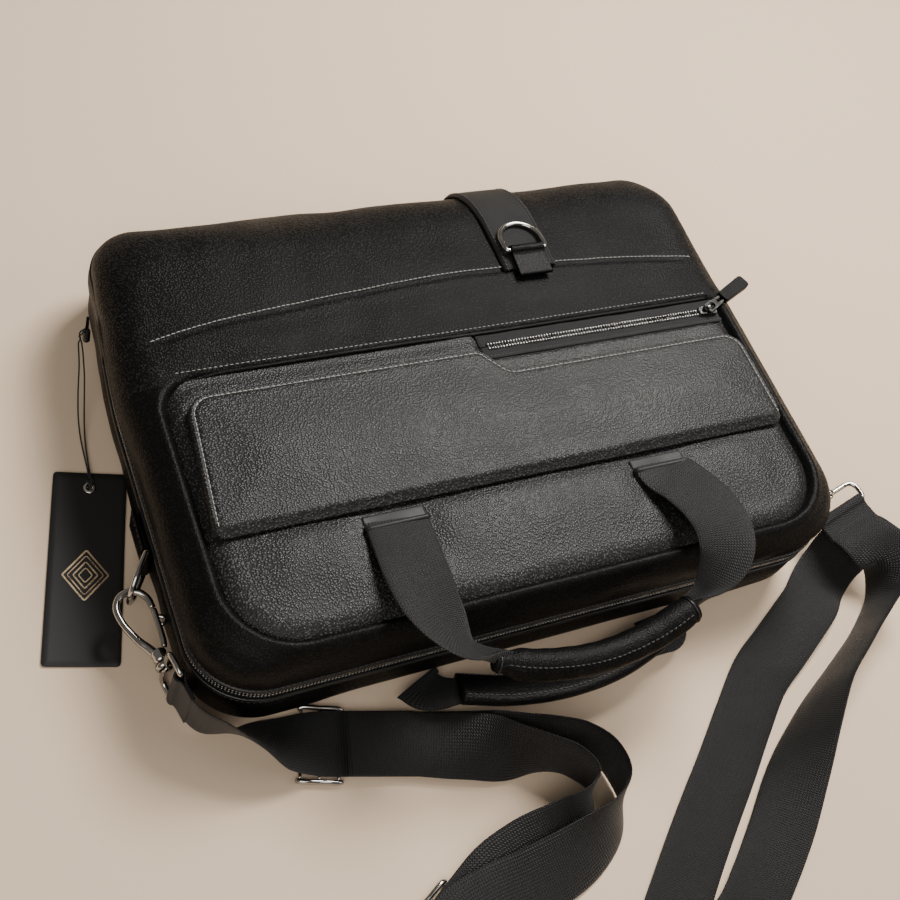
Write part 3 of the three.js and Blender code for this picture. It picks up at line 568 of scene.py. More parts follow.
# Each point is [x, y, lift of the lower edge off the floor, roll in degrees], as in the CAD.
STRAP_ROUTES = {
    "strap_left": [
        [-216, -132.6, 4, 90], [-213.6, -140.6, 4.4, 88], [-209, -147.5, 4.6, 86], [-201, -153, 3.6, 80],
        [-186, -160, 2, 58], [-168, -166.5, 1.8, 24],
        [-146, -170.5, 3.6, 0], [-125, -176, 2, 0], [-100, -183, 0.6, -2], [-77, -190, 0.4, -6],
        [-55, -198, 0.4, -20], [-36, -204, 0.4, -50], [-18, -207, 0.4, -76], [-2, -213, 0.4, -86],
        [10, -227, 0.4, -90], [12, -245, 0.4, -96], [2, -261, 0.4, -120], [-22, -273, 0.6, -146],
        [-55, -279.5, 3.4, -166], [-82, -281.5, 5.8, -177], [-105, -287, 6.6, -180],
        [-124, -301, 3.4, -180],
        [-133, -320, 0.8, -180], [-126, -339, 0.6, -180], [-106, -350, 0.8, -180], [-76, -352, 2.4, -180],
        [-42.5, -350.5, 3.6, -180],
    ],
    "strap_tail_left": [
        [-132, -175, 5.8, 0], [-118, -178.5, 4.8, 0], [-99, -184, 4, -2], [-78, -192, 4, -6],
        [-60, -199.5, 3.8, -20], [-44, -209, 1.6, -50], [-28, -216, 0.4, -74], [-13, -225, 0.4, -86],
        [-6, -238, 0.4, -96], [-14, -251, 0.4, -122], [-32, -259, 0.4, -144], [-54, -263, 0.6, -160],
        [-74, -269, 1.6, -172], [-88, -277, 2.8, -180], [-103.5, -286, 3.6, -180],
    ],
    "strap_right": [
        [248.4, -131.5, 24.1, -14], [249.6, -136.4, 24.9, -14], [250.4, -140.2, 26.6, -14],
        [254, -150, 24, -26], [258, -164, 17.5, -50], [253, -180, 3.5, -72],
        [235, -194, 0.4, -80], [209, -210, 0.4, -80], [179, -228, 0.4, -74], [153, -249, 0.4, -58],
        [129, -272, 0.4, -36], [105, -298, 0.4, -16], [81, -320, 0.6, -4], [56, -338, 2.8, 0],
        [28, -347.5, 5.2, 0], [-6, -350.5, 6.6, 0], [-37.5, -350.5, 6.8, 0],
    ],
    "strap_tail_right": [
        [248.4, -131.5, 23.3, -14], [249.2, -136.4, 21.8, -13], [247, -140.4, 16.5, -12],
        [237, -146.5, 5, 6], [222, -156.5, 0.8, 2],
        [207, -168.5, 0.6, -8], [188, -180, 0.4, -10],
        [166, -193, 0.4, -6], [144, -206, 0.4, -2], [118, -229, 0.4, 0], [92, -253, 0.4, 0],
        [66, -276, 0.4, 0], [41, -299, 0.4, 0], [18, -321, 0.4, 0], [-2, -340, 1.4, 0], [-18, -349, 3, 0],
        [-37.5, -350.5, 3.6, 0],
    ],
}
STRING_ROUTE = [
    [-214.7, 101.9, 37.4], [-214.7, 101.9, 43], [-214.9, 101.7, 48.6], [-217.6, 100.6, 49.4],
    [-219, 99.6, 47],
    [-219.2, 98.6, 42.4], [-220, 92, 38.5], [-221, 85, 30], [-223, 76, 19], [-225, 66, 9],
    [-226.5, 55, 3.6],
    [-227.5, 44, 2.8], [-228.3, 33.5, 3.6], [-228.9, 25.4, 4.4],
]


def strap(name, route, seed):
    """One run of the shoulder strap. It returns the object, its centre line and its length."""
    laid = [
        [x, y, lift + (abs(math.sin(math.radians(roll))) * STRAP_WIDTH + STRAP_THICK) / 2, STRAP_WIDTH,
         roll]
        for x, y, lift, roll in route
    ]
    reach = sum(math.dist(a[:3], b[:3]) for a, b in zip(laid, laid[1:]))
    rings, uv, centre = ribbon_rings(laid, STRAP_THICK, int(reach / STRAP_STEP), wobble=0.25, seed=seed)
    obj = settle(lofted(name + "_webbing", WEBBING, rings, uv), "root", "webbing", name)
    return obj, centre, float(length_of(centre))


STRAPS = {name: strap(name, route, 11 + i) for i, (name, route) in enumerate(STRAP_ROUTES.items())}


def tag_string():
    """The tag's cord is one thin loop, so two strands run side by side down to the knot."""
    line = spline(STRING_ROUTE, 90)
    t = np.linspace(0, 1, len(line))
    side = unit(np.cross(tangents(line), (0.3, 0.2, 1)))
    gap = 0.45 + 1.7 * np.sin(t * math.pi) ** 2
    made = Build()
    for sign in (-1, 1):
        made.loft(tube_rings(line + sign * side * gap[:, None], 0.5, 8))
    obj = settle(made.done("tag_string", STRING), "root", "string", "hang_tag_string")
    return obj, line, float(length_of(line))


TAG_STRING = tag_string()


# ---------------------------------------------------------------- the body's form

HANDLE_X = 88
LEATHER_SHEET, FOLD_SHEET, TAPE_SHEET, BAND_SHEET, LINING_SHEET = 1.6, 0.9, 0.5, 1.4, 0.8
FRONT_SWELL, REAR_SWELL = 2.0, 1.3
PIPING_RADIUS = 1.35
FAR_PANEL_Y, FAR_PANEL_Z = 30, 52
POCKET_FLOOR = 79.6
PULL_TAB_UNDERSIDE = 84.7
BODY_LOW, BODY_HIGH = (np.array(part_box("rear_shell")[0]) / MM, np.array(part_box("front_shell")[1]) / MM)
HALF, NEAR, FAR, THICK = BODY_HIGH[0], BODY_LOW[1], BODY_HIGH[1], BODY_HIGH[2]
SPLIT = 43
CORNER_NEAR, CORNER_FAR = 40, 30
BACK_ROUND = (16, 16)
SIDE_ROUND = (22, 20)
NEAR_ROUND = (18, 24)
FAR_ROUND = (56, 42)
HALVES = ((1, "front_half", "front"), (-1, "root", "rear"))
ZIP_END = 96
RIM_GAP = 5.2
# The leather turns in at each rim: rings of (inset, height beyond the rim).
RIM_TURN = [(0.1, 0.5), (0.9, 0.1), (2.4, 1.4)]
RECESS = dict(half=193, near=-138, far=33, near_radius=40, far_radius=6, far_left_radius=24)
SIDE_POINTS, END_POINTS, CORNER_POINTS = 96, 132, 18


def round_in(depth, form):
    """How far a wall with the rounding (run, rise) is drawn in at a depth below its edge."""
    run, rise = form
    return np.where(depth >= rise, 0,
                    run * (1 - np.sqrt(np.clip(1 - (1 - np.minimum(depth, rise) / rise) ** 2, 0, 1))))


def rounded_ring(half, near, far, near_radius, far_radius):
    """A rounded rectangle from its right far corner, round by the far, left, near and right sides."""
    corners = [
        (half - far_radius, far - far_radius, far_radius),
        (far_radius - half, far - far_radius, far_radius),
        (near_radius - half, near + near_radius, near_radius),
        (half - near_radius, near + near_radius, near_radius),
    ]
    arcs = []
    for turn, (x, y, radius) in enumerate(corners):
        angle = (turn + np.linspace(0, 1, CORNER_POINTS)) * math.pi / 2
        arcs.append(np.stack([x + radius * np.cos(angle), y + radius * np.sin(angle)], 1))
    parts = []
    for i, arc in enumerate(arcs):
        count = (END_POINTS, SIDE_POINTS)[i % 2]
        t = np.linspace(0, 1, count + 2)[1:-1, None]
        parts += [arc, arc[-1] * (1 - t) + arcs[(i + 1) % 4][0] * t]
    return np.vstack(parts)


def lean(flat):
    """The bag's far left end is drawn in a little by the weight of the leather."""
    shift = 8 * smoothstep(flat[:, 1], 30, 150) * smoothstep(-flat[:, 0], 120, 205)
    return np.column_stack([flat[:, 0] + shift, flat[:, 1:]])


def body_ring(z, inset=0.0, level=None):
    """The body's outline at the height z. level, where it is given, sets each point's height from its y."""
    under = float(round_in(z, BACK_ROUND))
    depth = THICK - z
    side = under + float(round_in(depth, SIDE_ROUND))
    flat = rounded_ring(
        HALF - side - inset,
        NEAR + under + float(round_in(depth, NEAR_ROUND)) + inset,
        FAR - under - float(round_in(depth, FAR_ROUND)) - inset,
        max(CORNER_NEAR - side / 2 - inset, 6),
        max(CORNER_FAR - side / 2 - inset, 6),
    )
    height = np.full(len(flat), float(z)) if level is None else level(flat[:, 1])
    return np.column_stack([lean(flat), height])


def rim(side, extra=0.0):
    """The height of a half's edge: the halves part at the zip and meet along the bottom edge."""
    def level(y):
        opening = 1 - smoothstep(y, ZIP_END + 2, ZIP_END + 30)
        return SPLIT + side * (0.2 + opening * (RIM_GAP - 0.2) + extra)

    return level


def outward(flat):
    """The direction out of the body's wall at points of a ring."""
    centre = np.column_stack([np.clip(flat[:, 0], -HALF + 60, HALF - 60),
                              np.clip(flat[:, 1], NEAR + 60, FAR - 60)])
    return unit(flat[:, :2] - centre)


def recess_distance(x, y):
    """How far points lie inside the front pocket's outline. It is negative outside."""
    half, near, far = RECESS["half"], RECESS["near"], RECESS["far"]
    far_radius = np.where(x < 0, RECESS["far_left_radius"], RECESS["far_radius"])
    radius = np.where(y < (near + far) / 2, RECESS["near_radius"], far_radius)
    middle, tall = (near + far) / 2, (far - near) / 2
    dx = np.abs(x) - (half - radius)
    dy = np.abs(y - middle) - (tall - radius)
    outside = np.hypot(np.maximum(dx, 0), np.maximum(dy, 0)) + np.minimum(np.maximum(dx, dy), 0)
    return radius - outside


def seam_y(x):
    """The line where the bottom panel is sewn to the front."""
    return 78 - 0.00042 * (x - 30) ** 2


def bulge(points, amount):
    """Padding that swells the wall between the rim and the front face, except along the bottom edge."""
    _, y, z = points.T
    swell = np.sin(math.pi
                   * np.clip((z - SPLIT - 5) / (THICK - SPLIT - 4), 0, 1)) * (1 - smoothstep(y, 90, 150))
    return swell * amount


def front_surface():
    """The front half before its padding: rings up the wall and then in to the pocket's floor."""
    levels = SPLIT + (THICK - SPLIT) * np.sin(np.linspace(0.14, 1, 30) * math.pi / 2)
    rings = [body_ring(SPLIT, inset, rim(1, extra)) for inset, extra in reversed(RIM_TURN)]
    rings += [body_ring(z) for z in levels if z > SPLIT + RIM_GAP + 0.8]
    top = rings[-1]
    inner = line_at(*rounded_ring(180, -124, 24, 30, 6).T, THICK)
    rings += [top * (1 - t) + inner * t for t in np.linspace(0, 1, 46)[1:]]
    return np.array(rings)


def shape_front(rings):
    """Gives the front half its padding, seams, creases and slack."""
    points = rings.reshape(-1, 3).copy()
    x, y, z = points.T
    flat = outward(points)
    points[:, :2] += flat * bulge(points, FRONT_SWELL)[:, None]
    wall = 1 - smoothstep(z, 60, 84)
    slack = ripple(points, 95, 3) * 1.1 + ripple(points, 38, 4) * 0.35
    points[:, :2] += flat * (slack * wall * smoothstep(z, 49, 58))[:, None]
    inside = recess_distance(x, y)
    far_part = smoothstep(y, 33, 50) * smoothstep(z, 60, 80)
    points[:, 2] += far_part * (ripple(points, 130, 5) * 1.5 + ripple(points, 46, 6) * 0.45)
    pad = 1.5 * np.exp(-(((y - 52) / 13) ** 2)) + 1.0 * np.exp(-(((y - 96) / 18) ** 2))
    points[:, 2] += pad * smoothstep(z, 78, 85) * (1 - smoothstep(np.abs(x), 165, 195))
    gap = y - seam_y(x)
    fade = 1 - smoothstep(np.abs(x), 172, 196)
    points[:, 2] -= fade * smoothstep(z, 70, 80) * (1.3 * np.exp(-((gap / 1.5) ** 2)) - 0.5
                                                    * np.exp(-(((gap + 4) / 3) ** 2)))
    roll = (1 - smoothstep(y, 20, 34)) * np.exp(-(((inside + 4.5) / 3.2) ** 2))
    points[:, 2] += 1.5 * roll
    points[:, 2] -= smoothstep(inside, -2.2, 2.0) * np.maximum(points[:, 2] - POCKET_FLOOR, 0)
    sweep = smoothstep(x, -60, 0) * (1 - smoothstep(y, 48, 72)) * smoothstep(y, 28, 32)
    points[:, 2] -= sweep * 0.7 * np.logaddexp(0, (points[:, 2] - PULL_TAB_UNDERSIDE) / 0.7)
    corner = np.exp(-(((x + y * 0.9 + 318) / 2.2) ** 2)) * (y < -90) * (x < -120)
    points[:, :2] -= flat * (corner * 0.9 * smoothstep(z, 50, 56))[:, None]
    points[:, 2] -= corner * 0.8 * smoothstep(z, 70, 80)
    return points.reshape(rings.shape)


SURFACES = {}


def remember(name, points, faces):
    """Keeps a surface, so that stitches can be laid on it."""
    SURFACES[name] = BVHTree.FromPolygons(np.asarray(points, float).tolist(),
                                          [tuple(map(int, f)) for f in faces])


def drape(name, points, away, lift=0.2):
    """Moves points onto a remembered surface, looking for it along away, and gives its normals there."""
    away = np.broadcast_to(np.asarray(away, float), np.shape(points))
    laid, normals = [], []
    for point, direction in zip(np.asarray(points, float), away):
        hit, normal, _, _ = SURFACES[name].ray_cast(Vector(point + direction * 30), Vector(-direction))
        if hit is None:
            hit, normal = Vector(point), Vector(direction)
        if normal.dot(Vector(direction)) < 0:
            normal = -normal
        laid.append(hit + normal * lift)
        normals.append(normal)
    return np.array(laid), np.array(normals)


def front_body():
    """The front half's shell, in the darkest, shaded copy of the leather. The bottom panel beyond the
    pocket has the duller grain and less painted shade.
    """
    rings = shape_front(front_surface())
    rows, columns = rings.shape[:2]
    points, faces = rings.reshape(-1, 3), grid_faces(rows, columns)
    obj = make("front_body", points, faces, LEATHER_LOW_SHADED)
    remember("front", points, faces)
    obj.data.materials.append(LEATHER_TOP_SHADED)
    far_faces = []
    for polygon in obj.data.polygons:
        x, y, z = np.array(polygon.center) / MM
        far_faces.append(int(y > FAR_PANEL_Y and z > FAR_PANEL_Z and recess_distance(x, y) < 0))
    obj.data.polygons.foreach_set("material_index", far_faces)
    return settle(thickened(obj, LEATHER_SHEET), "front_half", "leather", "front_shell")


def rear_body():
    rings = [body_ring(0.0, inset) for inset in (125, 110, 80, 50, 30, 16, 8, 4)]
    rings += [body_ring(z) for z in BACK_ROUND[1] * (1 - np.cos(np.linspace(0, 1, 12) * math.pi / 2))]
    rings += [body_ring(z) for z in np.linspace(BACK_ROUND[1], SPLIT - RIM_GAP - 1, 12)[1:]]
    rings += [body_ring(SPLIT, inset, rim(-1, extra)) for inset, extra in RIM_TURN]
    rings = np.array(rings)
    points = rings.reshape(-1, 3)
    x, y, z = points.T
    flat = outward(points)
    swell = np.sin(math.pi * np.clip((z - 2) / (SPLIT - 8), 0, 1)) * (1
                                                                      - smoothstep(y, 90, 150)) * REAR_SWELL
    slack = (ripple(points, 90, 8) * 1.0 + ripple(points, 36, 9)
             * 0.35) * smoothstep(z, 4, 14) * (1 - smoothstep(z, 30, 37))
    held = 1 - 0.85 * (1 - smoothstep(y, -144, -126)) * (1 - smoothstep(np.abs(x), 112, 150))
    points[:, :2] += flat * ((swell + slack) * held)[:, None]
    rows, columns = rings.shape[:2]
    faces = grid_faces(rows, columns) + [tuple(range(columns))[::-1]]
    obj = make("rear_body", points, faces, LEATHER_LOW_SHADED)
    remember("rear", points, faces)
    return settle(thickened(obj, LEATHER_SHEET), "root", "leather", "rear_shell")


front_body()
rear_body()


# ---------------------------------------------------------------- flat padded pieces


def outline_of(corners, spacing):
    """A closed outline from [x, y, radius] corners, sampled evenly."""
    made = []
    total = len(corners)
    for i, (x, y, radius) in enumerate(corners):
        here = np.array([x, y], float)
        before = unit(np.array(corners[i - 1][:2], float) - here)
        after = unit(np.array(corners[(i + 1) % total][:2], float) - here)
        half_angle = math.acos(np.clip(before @ after, -1, 1)) / 2
        reach = radius / math.tan(half_angle)
        start, end = here + before * reach, here + after * reach
        t = np.linspace(0, 1, 14)[:, None]
        centre = here + unit(before + after) * radius / math.sin(half_angle)
        arc = start * (1 - t) + end * t
        made.append(centre + unit(arc - centre) * radius)
    points = np.vstack(made)
    length = np.linalg.norm(points - np.roll(points, -1, 0), axis=1).sum()
    return resample(points, int(length / spacing), closed=True)


def inset_outline(outline, distance):
    along = tangents(outline, closed=True)
    inward = np.column_stack([-along[:, 1], along[:, 0]])
    area = 0.5 * np.sum(outline[:, 0] * np.roll(outline[:, 1], -1) - np.roll(outline[:, 0], -1)
                        * outline[:, 1])
    return outline + inward * distance * (1 if area > 0 else -1)


def distance_to(outline, points):
    """The distance from each point to a closed outline."""
    a = outline
    b = np.roll(outline, -1, 0)
    span = b - a
    length = np.maximum((span**2).sum(1), 1e-9)
    result = np.full(len(points), np.inf)
    for start in range(0, len(points), 2000):
        p = points[start : start + 2000, None]
        t = np.clip(((p - a) * span).sum(2) / length, 0, 1)
        gap = np.linalg.norm(p - (a + span * t[:, :, None]), axis=2)
        result[start : start + 2000] = gap.min(1)
    return result


def inside_of(outline, points):
    x, y = points.T
    inside = np.zeros(len(points), bool)
    for (x0, y0), (x1, y1) in zip(outline, np.roll(outline, -1, 0)):
        crosses = (y0 > y) != (y1 > y)
        with np.errstate(divide="ignore", invalid="ignore"):
            inside ^= crosses & (x < (x1 - x0) * (y - y0) / (y1 - y0) + x0)
    return inside


def pad(outline, edge, top, spacing=3.0):
    """A padded plate. edge is a list of (inset, height function) for the border's rings, from below up.
    top(x, y, inset) is the height inside the last ring."""
    made = Build()
    rings = []
    for inset, level in edge:
        flat = inset_outline(outline, inset)
        rings.append(np.column_stack([flat, level(flat[:, 0], flat[:, 1])]))
    last = inset_outline(outline, edge[-1][0])
    low, high = last.min(0), last.max(0)
    steps = [np.arange(low[i], high[i], spacing) for i in (0, 1)]
    grid = np.stack(np.meshgrid(*steps), -1).reshape(-1, 2)
    grid = grid[inside_of(last, grid)]
    grid = grid[distance_to(last, grid) > spacing * 0.6]
    count = len(last)
    edges = [(i, (i + 1) % count) for i in range(count)]
    corners = [Vector(p) for p in np.vstack([last, grid])]
    verts, _, faces, _, _, _ = delaunay_2d_cdt(corners, edges, [], 1, 1e-7)
    flat = np.array([tuple(v) for v in verts])
    inset = distance_to(outline, flat)
    ring_faces = grid_faces(len(rings), count)
    made.add(np.array(rings), ring_faces + [tuple(range(count))[::-1]])
    made.add(np.column_stack([flat, top(flat[:, 0], flat[:, 1], inset)]), [tuple(f) for f in faces])
    return made


def welded(obj, distance=0.05):
    modifier = obj.modifiers.new("weld", "WELD")
    modifier.merge_threshold = distance * MM
    return obj


def constant(value):
    return lambda x, y: np.full(len(x), float(value))


def edge_rings(height, insets):
    """Border rings that follow a plate's own height function."""
    return [(d, lambda x, y, d=d: height(x, y, np.full(len(x), d))) for d in insets]


# ---------------------------------------------------------------- front pocket

POCKET_ZIP = dict(start=8, end=190, y=22, half=8.6, z=83.3)


def zip_notch(x, y):
    """1 inside the pocket zip's opening, and 0 well outside it."""
    lip = POCKET_ZIP["y"] - POCKET_ZIP["half"]
    across = smoothstep(y, lip - 2.4, lip - 0.6)
    return across * smoothstep(x, POCKET_ZIP["start"] - 3, POCKET_ZIP["start"] + 1)


def pocket_height(x, y, inset):
    crown = 79.8 + 5.3 * np.sin(np.clip(inset / 11, 0, 1) * math.pi / 2) ** 0.8
    far_fold = 84.3 - crown
    crown = crown + np.maximum(far_fold, 0) * smoothstep(y, 20, 30)
    patch = np.exp(-(((np.abs(x) - HANDLE_X) / 25) ** 4)) * smoothstep(y, -120, -104)
    puff = 3.4 * smoothstep(inset, 6, 46) * (1 - smoothstep(y, -84, -70)) * (1 - patch)
    flat = line_at(x, y, 0)
    slack = ripple(flat, 80, 21) * 0.5 + ripple(flat, 30, 22) * 0.16
    height = crown + puff + slack * smoothstep(inset, 3, 16)
    under_flap = (1 - smoothstep(np.abs(x), 184, 190)) * smoothstep(y, -77,
                                                                    -70) * (1 - smoothstep(y, 15, 19))
    height = np.minimum(height, 85.6 + (1 - under_flap) * 4)
    return height - zip_notch(x, y) * np.maximum(height - 82.0, 0)


def front_pocket():
    half, near, far = RECESS["half"] - 0.4, RECESS["near"] + 0.4, RECESS["far"] - 0.4
    radius = RECESS["near_radius"] - 0.4
    far_left = RECESS["far_left_radius"] - 0.4
    corners = [(half, far, 5), (-half, far, far_left), (-half, near, radius), (half, near, radius)]
    outline = outline_of(corners, 3.0)
    edge = [(0.6, constant(78.6)), (0.0, constant(79.2))]
    edge += edge_rings(pocket_height, (0.4, 1.2, 2.2, 3.4, 5, 7, 9.5))
    obj = welded(pad(outline, edge, pocket_height, 2.4).done("front_pocket", LEATHER))
    settle(obj, "front_half", "leather", "front_pocket_panel")


front_pocket()


TEETH_PITCH = 2.0


def teeth_row(name, path, side, up, body, size, node):
    """Zip teeth along a path: small blocks with thin tongues, which side turns to face the other row."""
    path = np.asarray(path, float)
    count = int(length_of(path) / TEETH_PITCH)
    centres = resample(path, count)
    along = tangents(centres)
    ups = np.broadcast_to(np.asarray(up, float), centres.shape) if np.ndim(up) == 1 else resample(up, count)
    made = Build()
    length, wide, tall = size
    for centre, direction, normal in zip(centres, along, unit(ups)):
        inward = np.cross(normal, direction) * side
        for low, high in (
            ((-wide / 2, -length / 2, -tall / 2), (wide / 2, length / 2, tall / 2)),
            ((-wide / 4, -length * 0.8, -tall / 3), (wide / 4, -length / 2, tall / 3)),
        ):
            made.add(placed(box_points(low, high), centre, direction, inward, normal), BOX_FACES)
    return settle(bevelled(made.done(name, TEETH), 0.16, 1), body, "zip_metal", node)


def pocket_zip():
    zip_ = POCKET_ZIP
    x = np.linspace(zip_["start"] + 1, zip_["end"], 92)
    for side, label in ((-1, "near"), (1, "far")):
        y = zip_["y"] + side * 1.55
        path = line_at(x[3:-1], y, zip_["z"] + 0.35)
        node = f"pocket_zip_chain_{label}"
        teeth_row(f"pocket_teeth_{label}", path, side, (0, 0, 1), "front_half", (1.9, 0.95, 1.9), node)
    made = Build()
    for side in (-1, 1):
        reach = np.linspace(0.4, zip_["half"] + 0.6, 10)
        rows = []
        for distance in reach:
            sag = 0.35 * math.sin(distance / zip_["half"] * math.pi)
            rows.append(line_at(x, zip_["y"] + side * distance, zip_["z"] - sag + 0.12 * np.sin(x / 5)))
        made.add(rows, grid_faces(len(reach), len(x), closed_columns=False), uv_of(reach[:, None], x))
    tape = thickened(made.done("pocket_zip_cloth", TAPE), TAPE_SHEET)
    settle(tape, "front_half", "zip_tape", "pocket_zip_tape")
    line = line_at(x, zip_["y"] - zip_["half"] + 1.4, zip_["z"] + 0.1)
    stitches("pocket_zip_stitches", line, (0, 0, 1), "front_half", "zip_tape", THREAD_DARK, 2.6, 1.9, 0.28)


pocket_zip()


def pocket_fold():
    """The bottom panel's near edge is turned under along the pocket."""
    fold = spline([[-176, 31, 82.6], [-160, 32.6, 84.4], [-120, 32.8, 85.2], [-30, 32.6, 85.3],
                   [10, 32.6, 83.9],
                   [100, 32.5, 83.9], [150, 32.4, 83.9], [188, 32.8, 83.4]], 120)
    settle(tube(fold, 1.4, 10, flat=0.8).done("pocket_far_fold", LEATHER_LOW_SHADED), "front_half", "leather")


pocket_fold()


# ---------------------------------------------------------------- flap

FLAP = dict(half=190, low=86.5, high=93)
FLAP_CORNERS = [
    (190, -1, 15), (18, -1, 8), (3, 17, 8), (-182, 17, 16), (-190, -74, 8), (190, -74, 8),
]
FLAP_STITCH = 3.6


def flap_height(x, y, inset):
    near_fold = 1 - smoothstep(y, -74, -62)
    edge = np.sin(np.clip(inset / (2.0 + 7.5 * near_fold), 0, 1) * math.pi / 2)
    height = 88.4 + (FLAP["high"] - 88.9) * edge
    groove = 0.75 * np.exp(-(((inset - FLAP_STITCH) / 1.1) ** 2)) * (1 - near_fold)
    puff = 2.9 * smoothstep(inset, 2, 42)
    flat = line_at(x, y, 0)
    slack = ripple(flat, 130, 31) * 0.55 + ripple(flat, 44, 32) * 0.2
    return height - groove + puff + slack * smoothstep(inset, 2, 14)


def flap():
    outline = outline_of(FLAP_CORNERS, 2.4)
    edge = [(1.4, constant(FLAP["low"])), (0.3, constant(FLAP["low"] + 0.5)), (0.0, constant(87.8))]
    edge += edge_rings(flap_height, (0.15, 0.6, 1.2, 2, 2.8, 3.6, 4.4, 5.6, 7.2, 9))
    obj = welded(pad(outline, edge, flap_height, 2.2).done("flap_leather", LEATHER))
    settle(obj, "flap", "leather", "flap", "flap_magnet_left", "flap_magnet_right")
    line = inset_outline(outline, FLAP_STITCH)
    start = int(np.argmin(np.hypot(line[:, 0] - (FLAP["half"] - FLAP_STITCH), line[:, 1] + 66)))
    ordered = np.roll(line, -start, axis=0)
    end = int(np.argmin(np.hypot(ordered[:, 0] + FLAP["half"] - FLAP_STITCH, ordered[:, 1] + 66)))
    run = ordered[: end + 1] if end > len(ordered) / 3 else np.roll(ordered, -end,
                                                                    axis=0)[: len(ordered) - end]
    height = flap_height(run[:, 0], run[:, 1], np.full(len(run), FLAP_STITCH)) + 0.25
    stitches("flap_stitches", np.column_stack([run, height]), (0, 0, 1), "flap", "leather", THREAD, 3.3,
             2.8, 0.33)


flap()


def flap_welt():
    x = np.linspace(-182, 182, 90)
    line = line_at(x, -68.5, 86.0)
    settle(tube(line, 1.8, 8, flat=0.25).done("flap_welt", EDGE), "front_half", "leather_edge",
           "flap_hinge_welt")


flap_welt()


# ---------------------------------------------------------------- seams of the body


def bottom_seam():
    x = np.linspace(-188, 192, 180)
    line, normals = drape("front", line_at(x, seam_y(x) + 2.6, THICK), (0, 0, 1), 0.25)
    stitches("bottom_seam_stitches", line, normals, "front_half", "leather", THREAD, 3.2, 2.7, 0.3)
    x = np.linspace(-180, 186, 200)
    line, normals = drape("front", line_at(x, 36.6, THICK), (0, 0, 1), 0.2)
    stitches("pocket_far_stitches", line, normals, "front_half", "leather", THREAD, 3.2, 2.1, 0.22)


bottom_seam()


def along_zip(inset, z, count=560, end=ZIP_END + 4):
    """The zip's path round the body: along the left, near and right sides, from end to end."""
    radius = CORNER_NEAR - inset
    half, near = HALF - inset, NEAR + inset
    left = np.array([[-half, end], [-half, near + radius]])
    right = np.array([[half, near + radius], [half, end]])
    turn = np.linspace(0, 1, 24) * math.pi / 2
    cos, sin = radius * np.cos(turn), radius * np.sin(turn)
    corner_left = np.column_stack([-half + radius - cos, near + radius - sin])
    corner_right = np.column_stack([half - radius + sin, near + radius - cos])
    flat = resample(np.vstack([left, corner_left[1:], corner_right, right[1:]]), count)
    return line_at(*lean(flat).T, z)


def piping():
    """Corded piping along the rim of each half."""
    for side, body, name in HALVES:
        cord = tube(body_ring(SPLIT, -0.3, rim(side, 0.9)), PIPING_RADIUS, 10, closed=True)
        settle(cord.done(f"{name}_piping", EDGE), body, "leather_edge")


piping()


def main_zip():
    for side, body, name in HALVES:
        path = along_zip(0.5, SPLIT + side * 1.4, 560, ZIP_END)
        up = line_at(*outward(path).T, 0)
        teeth_row(f"main_teeth_{name}", path, side, up, body, (1.9, 1.1, 2.2), f"main_zip_chain_{name}")
        reach, count = np.linspace(0.7, RIM_GAP + 1.6, 9), 400
        rows = [along_zip(1.0 + 0.5 * math.sin(d), SPLIT + side * d, count, ZIP_END + 3) for d in reach]
        tape = sheet_of(f"main_zip_cloth_{name}", TAPE, rows, uv_of(reach[:, None], np.arange(count) * 2.0))
        settle(thickened(tape, TAPE_SHEET, 0), body, "zip_tape", f"main_zip_tape_{name}")
        line = along_zip(0, SPLIT + side * (RIM_GAP + 3.4), 500)
        line, normals = drape(name, line, line_at(*outward(line).T, 0), 0.15)
        stitches(f"main_zip_stitches_{name}", line, normals, body, "leather", THREAD_DARK, 3.2, 2.4, 0.28)


main_zip()


def bottom_fold():
    """One sheet of leather joins the halves along the bottom edge."""
    ring = body_ring(SPLIT, -0.5)
    past = 22
    ring = ring[[i % len(ring) for i in range(-past, CORNER_POINTS * 2 + END_POINTS + past)]]
    rows = []
    for z, out in ((34, 0.1), (36.5, 0.5), (39.5, 0.8), (SPLIT, 0.9), (46.5, 0.5), (49.5, 0.3), (52, 0)):
        rows.append(line_at(*(ring[:, :2] + outward(ring) * (out - 0.2)).T, z))
    obj = thickened(sheet_of("bottom_fold", LEATHER_LOW_SHADED, rows), FOLD_SHEET, 0)
    bpy.context.view_layer.update()
    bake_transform(obj)


bottom_fold()


# ---------------------------------------------------------------- bottom band and its ring

BAND_X, BAND_WIDTH, BAND_START, BAND_END = 68, 40, 76, 47


